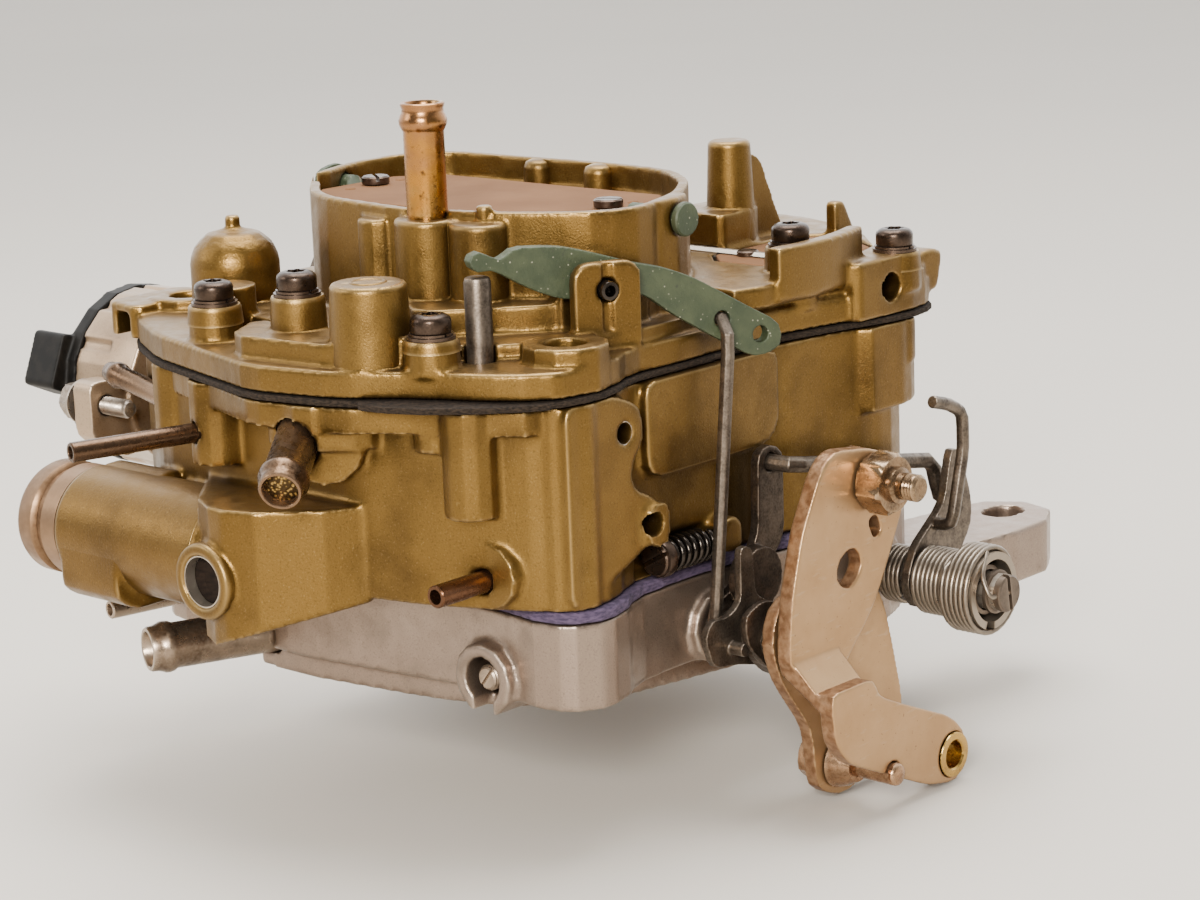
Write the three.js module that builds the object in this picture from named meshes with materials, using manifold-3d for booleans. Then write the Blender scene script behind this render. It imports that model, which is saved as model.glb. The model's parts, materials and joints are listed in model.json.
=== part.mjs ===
// A spread-bore four-barrel carburetor, in millimetres.
// +X is the throttle-lever side, -Y is the front, +Z is up.
// The origin is the centre of the mounting bolt pattern, on the face of the base flange.

import * as THREE from 'three';
import { mergeVertices } from 'three/addons/utils/BufferGeometryUtils.js';
import Module from 'manifold-3d';

const wasm = await Module();
wasm.setup();

// ---------------------------------------------------------------- driving dimensions

const GAP = 0.3;
const REACH = 200;

const BOLT_X = 54;
const BOLT_Y = 71.4;
const BOLT_HOLE = 4.3;

const PRIMARY_X = 22;
const PRIMARY_Y = -34;
const PRIMARY_R = 17.5;
const VENTURI_R = 15.5;
const SECONDARY_X = 28.5;
const SECONDARY_Y = 18;
const SECONDARY_R = 27;
const SHAFT_Z = 11.5;
const SHAFT_R = 4;
const PLATE_T = 1.5;
const PLATE_SLOT = PLATE_T + 2 * GAP;

const BODY_TOP = 22.5;
const EAR_TOP = 12;
const INSULATOR_T = 2.4;
const BOWL_BOTTOM = BODY_TOP + INSULATOR_T + 2 * GAP;
const BOWL_TOP = 65;
const GASKET_T = 1.2;
const HORN_BOTTOM = BOWL_TOP + GASKET_T + 2 * GAP;
const FLANGE_TOP = 72;
const DECK_TOP = 75;
const RIM_Z = 97.5;
const CHOKE_Y = -33;
const CHOKE_Z = 93.2;
const CHOKE_SHAFT_R = 2.4;
const AIR_VALVE_Y = 8;
const AIR_VALVE_Z = 77.5;
const AIR_SHAFT_R = 1.8;

const LEVER_ANGLE = THREE.MathUtils.degToRad(23.5);
const LEVER_PIVOT = [50, -57.5, 83.5];
const LEVER_T = 3;
const PIVOT_PIN_R = 1.9;
const PUMP_ROD_EYE = { u: 25.8, w: -9 };
const PUMP_PIN = { y: -41.3, z: 10.5 };
const PUMP_ROD_FOOT = [63.1, PUMP_PIN.y, PUMP_PIN.z];
const STEM_R = 2.6;
const VENT_TUBE = { x: 17, y: -69.5, r: 4, foot: 88.5, top: 118.5 };

const LEVER_A = { x0: 78, x1: 81.5, arm0: 87.5, arm1: 91 };
const STUD = { y: -14, z: 40.6, r: 2.9 };
const BUSHING = { y: -0.2, z: -18.4, r: 4.4 };
const LEVER_BOLT = { y: -20.5, z: -16.8 };
const LINK_X = 66;
const LINK_R = 1.75;
const LINK_PIN = { y: -20.4, z: 43 };
const SECONDARY_PIN = { y: 30.8, z: 24.9 };

// ---------------------------------------------------------------- materials

function finish(color, roughness, metalness) {
  return new THREE.MeshStandardMaterial({ color, roughness, metalness });
}

const castGold = finish(0xa08246, 0.55, 0.7);
const castGrey = finish(0xb4a5a0, 0.6, 0.7);
const darkSteel = finish(0x5a504e, 0.5, 0.8);
const brightSteel = finish(0xa8a4a0, 0.35, 0.9);
const zincPlate = finish(0xc8a078, 0.45, 0.8);
const brass = finish(0xd2aa28, 0.3, 0.9);
const copper = finish(0x6e4630, 0.45, 0.8);
const greenPaint = finish(0x5f7355, 0.6, 0.2);
const paperBlack = finish(0x322a28, 0.95, 0);
const paperPurple = finish(0x6e5f96, 0.95, 0);
const blackPlastic = finish(0x1c1a1a, 0.6, 0);
const plateBrown = finish(0xa58273, 0.6, 0.4);
const foamBlack = finish(0x26221f, 0.9, 0);

// ---------------------------------------------------------------- solids

function solid(geometry) {
  const plain = new THREE.BufferGeometry();
  plain.setAttribute('position', geometry.attributes.position.clone());
  if (geometry.index) plain.setIndex(geometry.index.clone());
  const merged = mergeVertices(plain, 1e-3);
  const mesh = new wasm.Mesh({
    numProp: 3,
    vertProperties: new Float32Array(merged.attributes.position.array),
    triVerts: new Uint32Array(merged.index.array),
  });
  return new wasm.Manifold(mesh);
}

function join(...pieces) {
  return pieces.reduce((whole, piece) => whole.add(piece));
}

function cut(whole, ...tools) {
  return tools.reduce((rest, tool) => rest.subtract(tool), whole);
}

const group = new THREE.Group();

function part(name, piece, material) {
  const raw = piece.getMesh();
  const geometry = new THREE.BufferGeometry();
  geometry.setAttribute('position', new THREE.BufferAttribute(new Float32Array(raw.vertProperties), 3));
  geometry.setIndex(new THREE.BufferAttribute(new Uint32Array(raw.triVerts), 1));
  const mesh = new THREE.Mesh(geometry, material);
  mesh.name = name;
  group.add(mesh);
}

// Turns a shape made along +Z so that it runs along the given direction from the given point.
function along(geometry, at, direction) {
  const turn = new THREE.Quaternion();
  turn.setFromUnitVectors(new THREE.Vector3(0, 0, 1), new THREE.Vector3(...direction).normalize());
  geometry.applyQuaternion(turn);
  geometry.translate(...at);
  return geometry;
}

function rod(at, direction, length, radius, topRadius = radius, sides = 12) {
  const geometry = new THREE.CylinderGeometry(topRadius, radius, length, sides);
  geometry.rotateX(Math.PI / 2);
  geometry.translate(0, 0, length / 2);
  return solid(along(geometry, at, direction));
}

const post = (x, y, z0, z1, radius, topRadius = radius, sides = 12) =>
  rod([x, y, z0], [0, 0, 1], z1 - z0, radius, topRadius, sides);

const rodX = (x0, x1, y, z, radius, sides = 12) =>
  rod([x0, y, z], [1, 0, 0], x1 - x0, radius, radius, sides);

const rodY = (x, y0, y1, z, radius, sides = 12) =>
  rod([x, y0, z], [0, 1, 0], y1 - y0, radius, radius, sides);

function box(x0, x1, y0, y1, z0, z1) {
  const geometry = new THREE.BoxGeometry(x1 - x0, y1 - y0, z1 - z0);
  geometry.translate((x0 + x1) / 2, (y0 + y1) / 2, (z0 + z1) / 2);
  return solid(geometry);
}

// A body turned from a profile of [radius, distance] points about a line.
function turned(at, direction, profile, sides = 12) {
  const points = profile.map(([radius, distance]) => new THREE.Vector2(radius, distance));
  const geometry = new THREE.LatheGeometry(points, sides);
  geometry.rotateX(Math.PI / 2);
  return solid(along(geometry, at, direction));
}

// A tube open at both ends, with a bead near its far end.
function hose(at, direction, length, outer, inner, bead) {
  return turned(at, direction, [
    [inner, 0], [outer, 0], [outer, length - 4], [outer + bead, length - 2.8],
    [outer + bead, length - 1.4], [outer, length], [inner, length], [inner, 0],
  ]);
}

function pipe(at, direction, length, outer, inner, sides = 12) {
  return turned(at, direction, [[inner, 0], [outer, 0], [outer, length], [inner, length], [inner, 0]],
    sides);
}

// A closed outline through the points, each corner rounded by a curve.
function outline(points, radius = 3) {
  const shape = new THREE.Shape();
  const corners = points.map(([x, y]) => new THREE.Vector2(x, y));
  corners.forEach((corner, i) => {
    const before = corners[(i + corners.length - 1) % corners.length];
    const after = corners[(i + 1) % corners.length];
    const back = Math.min(radius, corner.distanceTo(before) / 2);
    const ahead = Math.min(radius, corner.distanceTo(after) / 2);
    const start = corner.clone().lerp(before, back / corner.distanceTo(before));
    const end = corner.clone().lerp(after, ahead / corner.distanceTo(after));
    if (i === 0) shape.moveTo(start.x, start.y);
    else shape.lineTo(start.x, start.y);
    shape.quadraticCurveTo(corner.x, corner.y, end.x, end.y);
  });
  shape.closePath();
  return shape;
}

function prism(shape, z0, z1, curveSegments = 1) {
  const geometry = new THREE.ExtrudeGeometry(shape, { depth: z1 - z0, bevelEnabled: false,
    curveSegments });
  geometry.translate(0, 0, z0);
  return solid(geometry);
}

// A plate whose outline lies in the Y-Z plane, from x0 to x1.
function plateX(points, x0, x1, radius = 2) {
  const depth = x1 - x0;
  const settings = { depth, bevelEnabled: false, curveSegments: 2 };
  const geometry = new THREE.ExtrudeGeometry(outline(points, radius), settings);
  const turn = new THREE.Matrix4().makeBasis(
    new THREE.Vector3(0, 1, 0), new THREE.Vector3(0, 0, 1), new THREE.Vector3(1, 0, 0));
  geometry.applyMatrix4(turn);
  geometry.translate(x0, 0, 0);
  return solid(geometry);
}

// A bar whose outline lies in the X-Z plane, from y0 to y1.
function slabY(points, y0, y1) {
  const geometry = new THREE.ExtrudeGeometry(outline(points, 0.3), { depth: y1 - y0, bevelEnabled: false,
    curveSegments: 1 });
  geometry.rotateX(Math.PI / 2);
  geometry.translate(0, y1, 0);
  return solid(geometry);
}

class Route extends THREE.Curve {
  constructor(place) {
    super();
    this.place = place;
  }

  getPoint(t, target = new THREE.Vector3()) {
    return target.copy(this.place(t));
  }
}

// A round wire along a polyline whose corners are rounded.
function wire(points, radius, bend = 3, steps = 24, sides = 4) {
  const path = new THREE.CurvePath();
  const knots = points.map((p) => new THREE.Vector3(...p));
  let from = knots[0];
  for (let i = 1; i < knots.length - 1; i++) {
    const knot = knots[i];
    const start = knot.clone().add(from.clone().sub(knot).setLength(bend));
    const end = knot.clone().add(knots[i + 1].clone().sub(knot).setLength(bend));
    path.add(new THREE.LineCurve3(from, start));
    path.add(new THREE.QuadraticBezierCurve3(start, knot, end));
    from = end;
  }
  path.add(new THREE.LineCurve3(from, knots[knots.length - 1]));
  const circle = new THREE.Shape();
  circle.absarc(0, 0, radius, 0, 2 * Math.PI);
  const smooth = new Route((t) => path.getPoint(t));
  const settings = { steps, extrudePath: smooth, curveSegments: sides, bevelEnabled: false };
  return solid(new THREE.ExtrudeGeometry(circle, settings));
}

function hexagon(at, direction, length, acrossFlats) {
  return rod(at, direction, length, acrossFlats / Math.sqrt(3), acrossFlats / Math.sqrt(3), 6);
}

// A close-wound spring as a ribbed sleeve, one rib to each turn.
function ribbedSleeve(at, direction, turns, pitch, outer, inner, sides = 12) {
  const profile = [[inner, 0]];
  for (let i = 0; i < turns; i++) {
    profile.push([outer - pitch * 0.3, i * pitch], [outer, (i + 0.5) * pitch]);
  }
  profile.push([outer - pitch * 0.3, turns * pitch], [inner, turns * pitch], [inner, 0]);
  return turned(at, direction, profile, sides);
}

const mirror = (points) => points.map(([x, y]) => [-x, y]).reverse();

const scaled = (points, cx, cy, fx, fy) => points.map(([x, y]) =>
  [cx + (x - cx) * fx, cy + (y - cy) * fy]);

// ---------------------------------------------------------------- outlines

// Each half runs from the front centre line round the lever side to the rear centre line.
const baseHalf = [
  [16, -80], [30, -78.5], [44, -79], [54, -81], [62, -76], [62, -66], [57, -58], [56, -44],
  [56.5, -30], [58, -12], [60, 4], [61, 18], [56, 32], [44, 45], [20, 47],
];
// The foot under the flange is drawn in at the front corners, where the bolt pads stand clear.
const footHalf = [
  [16, -77], [26, -74.5], [34, -71.5], [42, -66], [48, -58], [51, -44], [53.5, -30],
  [56.5, -12], [59, 4], [60.5, 18], [55.5, 31.5], [44, 44.5], [20, 46.5],
];
const footOutline = [[-13, -81], ...footHalf, ...mirror(footHalf).slice(0, -1), [-31, -80]];
const PAD_Z = 5;
const baseOutline = [[-13, -83.5], ...baseHalf, ...mirror(baseHalf).slice(0, -1), [-31, -83]];

const bowlHalf = [
  [20, -95], [34, -92], [46, -87], [57, -82], [61.5, -76], [61.5, -67], [57, -60], [56, -48],
  [56, -18], [57.5, -12], [59, 4], [61, 14], [60.5, 24], [52.5, 35], [41, 45.5], [20, 47],
];
const bowlLeft = [
  [-20, 47], [-41, 45.5], [-54, 35], [-61, 24], [-61, 10], [-58, 0], [-55, -18],
  [-55, -58], [-62, -67], [-62, -76], [-55, -84], [-40, -92], [-20, -95],
];
const bowlOutline = [...bowlHalf, ...bowlLeft];

const hornHalf = [
  [4, -107], [24, -103], [38, -94], [49, -90], [58.5, -84], [62, -77], [61.5, -66], [57, -57],
  [57.5, -40], [56, -14], [59.5, 4], [63, 16], [64, 28], [60, 37], [46, 44], [20, 47],
];
const hornLeft = [
  [-20, 48], [-48, 46], [-62, 40], [-64, 24], [-59, 4], [-56, -14], [-56, -56],
  [-62, -66], [-62, -78], [-54, -86], [-36, -96], [-18, -101],
];
const hornOutline = [...hornHalf, ...hornLeft];

const towerOutline = [
  [-24, -63], [-14, -68], [11, -71], [32, -66], [48, -56.5], [52.5, -47], [46.5, -28], [37, -14],
  [24, -4], [8, -2], [-14, -3], [-40, -4], [-48, -12], [-48.5, -28], [-43, -44],
];
const towerCentre = [2, -35];
const towerInner = scaled(towerOutline, ...towerCentre, 0.955, 0.935);

function bores(radiusPrimary, radiusSecondary, z0, z1, sides = 20) {
  return [
    post(PRIMARY_X, PRIMARY_Y, z0, z1, radiusPrimary, radiusPrimary, sides),
    post(-PRIMARY_X, PRIMARY_Y, z0, z1, radiusPrimary, radiusPrimary, sides),
    post(SECONDARY_X, SECONDARY_Y, z0, z1, radiusSecondary, radiusSecondary, sides + 4),
    post(-SECONDARY_X, SECONDARY_Y, z0, z1, radiusSecondary, radiusSecondary, sides + 4),
  ];
}

const frontBoltHoles = (z0, z1) => [
  post(BOLT_X, -BOLT_Y, z0, z1, BOLT_HOLE),
  post(-BOLT_X, -BOLT_Y, z0, z1, BOLT_HOLE),
];

// ---------------------------------------------------------------- places shared by parts

const COVER_SCREWS = [
  { name: 'front_centre', x: 3.3, y: -92.3, seat: 83 },
  { name: 'front_left', x: -20.5, y: -93, seat: 79 },
  { name: 'front_right', x: 36.8, y: -89.6, seat: 77.5 },
  { name: 'rear_right', x: 59.2, y: 25, seat: 79 },
  { name: 'side_right', x: 53.4, y: -2.4, seat: 83.5 },
];
const COVER_SCREW_R = 2;
const COVER_SCREW_FOOT = 58;

const coverScrewPosts = (z0, z1, radius, sides) => COVER_SCREWS.map(({ x, y }) => post(x, y, z0, z1,
  radius, radius, sides));

const coverScrewHoles = (z0, z1) => coverScrewPosts(z0, z1, COVER_SCREW_R + GAP, 8);

const NEEDLE_X = 38;
const NEEDLE_Z = 8.8;
const NEEDLE_R = 1.6;
const NEEDLE_END = -56;

const PCV = { at: [-22, -74, 8], direction: [-0.375, -0.927, 0], outer: 4.75 };
const VACUUM_PORT = { at: [-50, -74, 11.3], direction: [-0.2, -0.98, 0], outer: 2 };

const FUEL_Y = -100;
const FUEL_Z = 31;
const FUEL_BORE = 9.2;
const INLET_PORT = { x: -4.9, z: 29.2, r: 4.9 };

const FRONT_TUBE = { at: [8, -95.5, 61.5], direction: [0.52, -0.77, -0.36], outer: 4.35 };
const CHOKE_SCREW = { y: -82.5, z: 50.5 };
const THIN_TUBE = { at: [-17.3, -91, 54.4], direction: [-0.28, -0.96, 0] };
const STUB_TUBE = { at: [-40, -90.5, 57], direction: [-0.95, 0.2, 0.08] };
const BLEED_TUBE = { x: 45, y: -76, z: 31 };

const IDLE_SCREW_R = 1.6;
const IDLE_SCREW = { x: 58, z: 29.5, tip: -29, head: -53, r: 3.9 };

const COIL = { y: -57, z: 51, r: 20 };

// ---------------------------------------------------------------- throttle body and gasket

function throttleBody() {
  const ear = [
    [36, 36], [60, 30], [65, 46], [67, 64], [65.5, 76], [58, 82], [48, 81], [42.5, 72], [41, 58],
  ];
  let body = join(prism(outline(footOutline), 0, PAD_Z + 1), prism(outline(baseOutline), PAD_Z,
    BODY_TOP));
  body = join(body, prism(outline(ear, 5), 0, EAR_TOP), prism(outline(mirror(ear), 5), 0, EAR_TOP));
  body = join(body, rodX(50, 59.5, SECONDARY_Y, SHAFT_Z, 8), rodX(50, 58.6, PRIMARY_Y, SHAFT_Z, 7.5));
  const slot = (side) => join(post(side * BOLT_X, BOLT_Y - 1, -1, EAR_TOP + 1, BOLT_HOLE),
    post(side * BOLT_X, BOLT_Y + 1, -1, EAR_TOP + 1, BOLT_HOLE));
  for (const side of [1, -1]) {
    const x = side * NEEDLE_X;
    body = join(body, rodY(x, -82, -70, NEEDLE_Z, 7.4));
    body = body.trimByPlane([0, 0, 1], 0);
    body = cut(body, rodY(x, -83, -74, NEEDLE_Z, 4.6), rodY(x, -75, NEEDLE_END, NEEDLE_Z, NEEDLE_R + GAP,
      12));
    body = cut(body, box(x - 2.6, x + 2.6, -83, -76.5, -1, NEEDLE_Z - 2));
  }
  return cut(
    body,
    ...bores(PRIMARY_R, SECONDARY_R, -1, BODY_TOP + 1),
    ...frontBoltHoles(-1, BODY_TOP + 1),
    slot(1), slot(-1),
    rodX(-REACH, REACH, PRIMARY_Y, SHAFT_Z, SHAFT_R + GAP),
    rodX(-REACH, REACH, SECONDARY_Y, SHAFT_Z, SHAFT_R + GAP),
    rod(PCV.at, PCV.direction, 30, PCV.outer + GAP),
    rod(VACUUM_PORT.at, VACUUM_PORT.direction, 30, VACUUM_PORT.outer + GAP, VACUUM_PORT.outer + GAP, 16),
  );
}

function insulatorGasket() {
  const grown = scaled(baseOutline, 0, -20, 1.012, 1.012);
  const z0 = BODY_TOP + GAP;
  const sheet = prism(outline(grown), z0, z0 + INSULATOR_T);
  return cut(sheet, ...bores(PRIMARY_R + 0.6, SECONDARY_R, z0 - 1, z0 + 5), ...frontBoltHoles(z0 - 1,
    z0 + 5));
}

part('throttle_body', throttleBody(), castGrey);
part('insulator_gasket', insulatorGasket(), paperPurple);

// ---------------------------------------------------------------- float bowl

const FLOAT_HINGE = { y: -79.5, z: 60, r: 1.2 };
const CHAMBER = { x0: -30, x1: 22, y0: -88, y1: -53, floor: 33 };
const WELL = { x: 40, y: -80, r: 7, floor: 38 };
const NEEDLE_SEAT = { x: -8, y: -83.3, r: 4 };

// The barrel, block and nose that carry fuel from the passenger side to the needle seat.
function fuelArm() {
  const block = [[-112, 20], [-107, 17], [-90, 17], [-88, 24], [-88, 40], [-95, 44], [-104, 42],
    [-112, 34]];
  const nose = [[-24, -94], [-8, -112], [4, -113], [20, -99], [22, -90], [-30, -90]];
  const slope = new THREE.Vector3(-0.34, 0, 1).normalize();
  const noseBlock = prism(outline(nose, 4), 16, 44).trimByPlane(slope.toArray(), slope.z * 17.5);
  return join(
    plateX(block, -52, -34, 2),
    rodX(-53, -10, FUEL_Y, FUEL_Z, 12.2, 20),
    noseBlock,
    rodY(INLET_PORT.x, -114.5, -95, INLET_PORT.z, 7.6, 18),
  );
}

function bracketWall() {
  const leg = [[-80, 26], [-67, 30], [-60, 33], [-54, 36], [-55, 43], [-62, 46], [-62, 51], [-58, 55],
    [-59, 62], [-66, 65], [-80, 65]];
  return plateX(leg, 54, 61.5, 2.5);
}

const rearLug = [[51, 12], [63, 10], [63.5, 24], [60, 31], [50, 37]];

function floatBowl() {
  const z0 = BOWL_BOTTOM;
  const z1 = BOWL_TOP;
  let bowl = prism(outline(bowlOutline), z0, z1);
  const frontFlange = hornOutline.slice(0, 5).concat([[54, -78], [-30, -78], [-36, -94], [-18, -100]]);
  bowl = join(
    bowl,
    prism(outline(scaled(frontFlange, 10, -85, 0.985, 0.985), 2), 60, z1),
    post(-18.3, -96, 48, z1, 5.6),
    post(-38, -89, 50, z1, 5.4),
    rod([12, -92, 57], [0.56, -0.83, 0], 12, 8),
    prism(outline([[2, -88], [4, -104], [17, -106], [26, -98], [26, -88]], 2), 56, z1),
    post(44.5, -88.6, 44, z1, 5.4),
    post(54, -74, z0, z1, 8.2),
    rodY(46.5, -87, -70, 32.2, 6.5),
    fuelArm(),
    bracketWall(),
    plateX([[-54.5, 48], [-52, 46], [-17, 46], [-14, 50], [-14, 65], [-54.5, 65]], 52, 59, 3),
    plateX([[-60, 34], [-60, 42], [-53, 43], [-53, 33]], 55, 63, 4),
    plateX([[-35, 27], [-29, 27], [-29, 32.5], [-31.5, 34.5], [-35, 33]], 54, 61, 1.5),
    ...[1, -1].map((side) => prism(outline(side > 0 ? rearLug : mirror(rearLug), 2), 47, z1)),
    ...coverScrewPosts(COVER_SCREW_FOOT - 2, z1, 4.2, 12),
  );
  return cut(
    bowl,
    ...bores(PRIMARY_R, SECONDARY_R, z0 - 1, 34),
    ...bores(VENTURI_R, SECONDARY_R, 33, z1 + 1),
    ...frontBoltHoles(z0 - 1, z1 + 1),
    box(CHAMBER.x0, CHAMBER.x1, CHAMBER.y0, CHAMBER.y1, CHAMBER.floor, z1 + 1),
    post(WELL.x, WELL.y, WELL.floor, z1 + 1, WELL.r),
    box(CHAMBER.x1 - 1, WELL.x, -82, -78, 52, z1 + 1),
    post(NEEDLE_SEAT.x, NEEDLE_SEAT.y, 27, CHAMBER.floor + 1, NEEDLE_SEAT.r + GAP),
    rodX(-60, -20, FUEL_Y, FUEL_Z, FUEL_BORE + GAP, 18),
    rodX(-22, -4, FUEL_Y, FUEL_Z, 4.5, 12),
    rodY(INLET_PORT.x, -116, -106, INLET_PORT.z, INLET_PORT.r + GAP),
    rodY(NEEDLE_SEAT.x, -102, NEEDLE_SEAT.y, 28.5, 1.8, 10),
    rod(FRONT_TUBE.at, FRONT_TUBE.direction, 30, FRONT_TUBE.outer + GAP),
    rod(THIN_TUBE.at, THIN_TUBE.direction, 30, 2 + GAP, 2 + GAP, 10),
    rod(STUB_TUBE.at, STUB_TUBE.direction, 30, 2.3 + GAP, 2.3 + GAP, 10),
    rodY(BLEED_TUBE.x, -95, BLEED_TUBE.y, BLEED_TUBE.z, 2.2 + GAP, 10),
    rodX(57, 66, -63.6, 57.3, 2.2, 12),
    rodX(57, 66, -57.5, 38.4, 2.4, 12),
    rodY(IDLE_SCREW.x, -40, -20, IDLE_SCREW.z, IDLE_SCREW_R + GAP),
    rodY(IDLE_SCREW.x, IDLE_SCREW.head - 4, -35.2, IDLE_SCREW.z, IDLE_SCREW.r + GAP),
    ...coverScrewHoles(COVER_SCREW_FOOT, z1 + 1),
    rodX(CHAMBER.x0 - 3, CHAMBER.x1 + 3, FLOAT_HINGE.y, FLOAT_HINGE.z, FLOAT_HINGE.r + GAP, 12),
  );
}

part('float_bowl', floatBowl(), castGold);

// ---------------------------------------------------------------- air horn gasket and air horn

const wellHoles = (z0, z1) => [
  box(CHAMBER.x0, CHAMBER.x1, CHAMBER.y0, CHAMBER.y1, z0, z1),
  post(WELL.x, WELL.y, z0, z1, WELL.r),
];

function hornGasket() {
  const z0 = BOWL_TOP + GAP;
  const z1 = z0 + GASKET_T;
  const flap = [[27, -95], [26, -103.5], [40, -101.5], [55, -90.5], [63, -80], [50, -80]];
  const sheet = join(
    prism(outline(scaled(hornOutline, 0, -30, 1.006, 1.006)), z0, z1),
    prism(outline(flap, 4), z0, z1),
  );
  return cut(
    sheet,
    ...bores(PRIMARY_R, SECONDARY_R, z0 - 1, z1 + 1),
    ...frontBoltHoles(z0 - 1, z1 + 1),
    ...wellHoles(z0 - 1, z1 + 1),
    ...coverScrewHoles(z0 - 1, z1 + 1),
  );
}

part('air_horn_gasket', hornGasket(), paperBlack);

// A shape drawn along the pump lever: u is the distance behind the pivot, z is the height.
function alongLever(points, v0, v1, radius = 2) {
  const settings = { depth: v1 - v0, bevelEnabled: false, curveSegments: 2 };
  const geometry = new THREE.ExtrudeGeometry(outline(points, radius), settings);
  const s = Math.sin(LEVER_ANGLE);
  const c = Math.cos(LEVER_ANGLE);
  geometry.translate(0, 0, v0);
  geometry.applyMatrix4(new THREE.Matrix4().makeBasis(
    new THREE.Vector3(s, c, 0), new THREE.Vector3(0, 0, 1), new THREE.Vector3(c, -s, 0)));
  geometry.translate(...LEVER_PIVOT);
  return solid(geometry);
}

const leverNormal = [Math.cos(LEVER_ANGLE), -Math.sin(LEVER_ANGLE), 0];

function leverRod(v0, v1, radius, u = 0, w = 0, sides = 12) {
  const [px, py, pz] = LEVER_PIVOT;
  const s = Math.sin(LEVER_ANGLE);
  const c = Math.cos(LEVER_ANGLE);
  return rod([px + u * s + v0 * c, py + u * c - v0 * s, pz + w], leverNormal, v1 - v0, radius, radius,
    sides);
}

function pumpLeverPosts() {
  const face = [[-7, -11.5], [7, -11.5], [7, 3.5], [5, 5.5], [-5, 5.5], [-7, 3.5]];
  const stand = alongLever(face, -9, 5, 1.5);
  const slot = alongLever([[-20, -9.5], [20, -9.5], [20, 12], [-20, 12]], -2.1, 2.1, 0.5);
  const groove = alongLever([[-1.2, -20], [1.2, -20], [1.2, 12], [-1.2, 12]], 4.2, 8, 0.2);
  return cut(stand, slot, groove);
}

function chokeTower() {
  const boss = [[42, -44], [50.5, -42], [50.5, -31], [46, -26], [40, -27]];
  const end = prism(outline(boss, 3), FLANGE_TOP - 1, RIM_Z);
  return join(
    prism(outline(towerOutline, 5), FLANGE_TOP - 1, RIM_Z, 2),
    end,
    post(17, -69.5, FLANGE_TOP - 1, RIM_Z - 1.5, 6.6),
    post(28, -66.5, FLANGE_TOP - 1, RIM_Z - 2, 6),
    post(29, -66, FLANGE_TOP, RIM_Z + 1.2, 1.5, 1.5, 12),
    post(3, -69.5, FLANGE_TOP - 1, RIM_Z - 2.5, 4.2),
  );
}

function dome(x, y, z0, r) {
  const profile = [[0, 0], [r, 0], [r, 9], [r * 0.88, 12.5], [r * 0.6, 14.8], [1.6, 15.6], [1.3, 18],
    [0, 18.4]];
  return turned([x, y, z0], [0, 0, 1], profile);
}

function airHornOutside() {
  const deck = [
    [-44, -78], [-16, -84], [16, -84], [32, -86], [46, -76], [56, -60], [55, -14], [59, 6], [63, 22],
    [63, 34], [46, 42], [-46, 42], [-61, 34], [-56, 4], [-54, -14], [-55, -60],
  ];
  const block = [[26, -83], [44, -64], [54, -48], [44, -34], [20, -50], [10, -72]];
  const ledge = [[-4, -104], [22, -101], [33, -95], [28, -88], [-12, -90]];
  const ring = new THREE.Shape();
  ring.absarc(0, -6, 61.5, 0, 2 * Math.PI);
  const screwBosses = COVER_SCREWS.map(({ x, y, seat }) => post(x, y, FLANGE_TOP - 1, seat, 5.6, 5.2,
    14));
  return join(
    prism(outline(hornOutline), HORN_BOTTOM, FLANGE_TOP),
    prism(outline(deck, 4), FLANGE_TOP - 1, DECK_TOP),
    prism(outline(block, 3), FLANGE_TOP - 1, 80.5),
    prism(outline(ledge, 3), FLANGE_TOP - 1, 76.5),
    prism(ring, DECK_TOP - 1, 78.5, 14).trimByPlane([0, 1, 0], -26),
    post(BOLT_X, -BOLT_Y, HORN_BOTTOM, 75.6, 8.4),
    post(-BOLT_X, -BOLT_Y, HORN_BOTTOM, 74.5, 8.2),
    plateX([[-86, 67], [-60, 67], [-60, 74], [-86, 74]], -66, -54, 1).intersect(
      prism(outline([[-66, -84], [-54, -86], [-52, -62], [-66, -64]], 2), 60, 80)),
    dome(-39, -71, 74, 9.2),
    post(24, -93, FLANGE_TOP - 1, 87.5, 8, 7.2),
    post(-27, -84, FLANGE_TOP - 1, 81, 6),
    ...screwBosses,
    chokeTower(),
    pumpLeverPosts(),
    rearStructures(),
  );
}

function rearStructures() {
  const wall = new THREE.Shape();
  wall.absarc(0, -6, 62, -0.16, 0.36);
  wall.absarc(0, -6, 58.5, 0.36, -0.16, true);
  const corner = [[51, 9], [63, 7], [63.5, 24], [60, 31], [50, 35]];
  return join(
    prism(wall, DECK_TOP, 85.5, 5),
    prism(outline(corner, 1.5), HORN_BOTTOM, 79),
    plateX([[24, 68], [38, 69], [40, 77], [36, 78], [24, 76]], 52, 61, 1.5),
  );
}

// The post and blocks that stand on the deck behind the choke tower.
function rearStanding() {
  return join(
    post(20, 19, DECK_TOP, 100.5, 5.6, 4.4),
    plateX([[19, 76], [36, 76], [27, 96], [19, 99]], 18, 22, 1.5),
    prism(outline([[8, 10], [25.5, 9], [25.5, 20], [23, 25], [10, 25]], 1.5), DECK_TOP, 86),
    post(-20, 19, DECK_TOP, 88, 6),
    plateX([[37.8, 73], [45.5, 73], [45.5, 77], [41, 85.5], [37.8, 85.5]], 31, 34, 1),
  );
}

// The openings over the secondary bores, closed by the air valve plates.
const valveMouth = [[26, -1], [50, -1], [54.5, 10], [54, 24], [46, 36], [26, 38]];
const chokeMouth = [[-42, -52.5], [38, -52.5], [38, -13.5], [-42, -13.5]];
const LEDGE_Z = 91.5;

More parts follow.
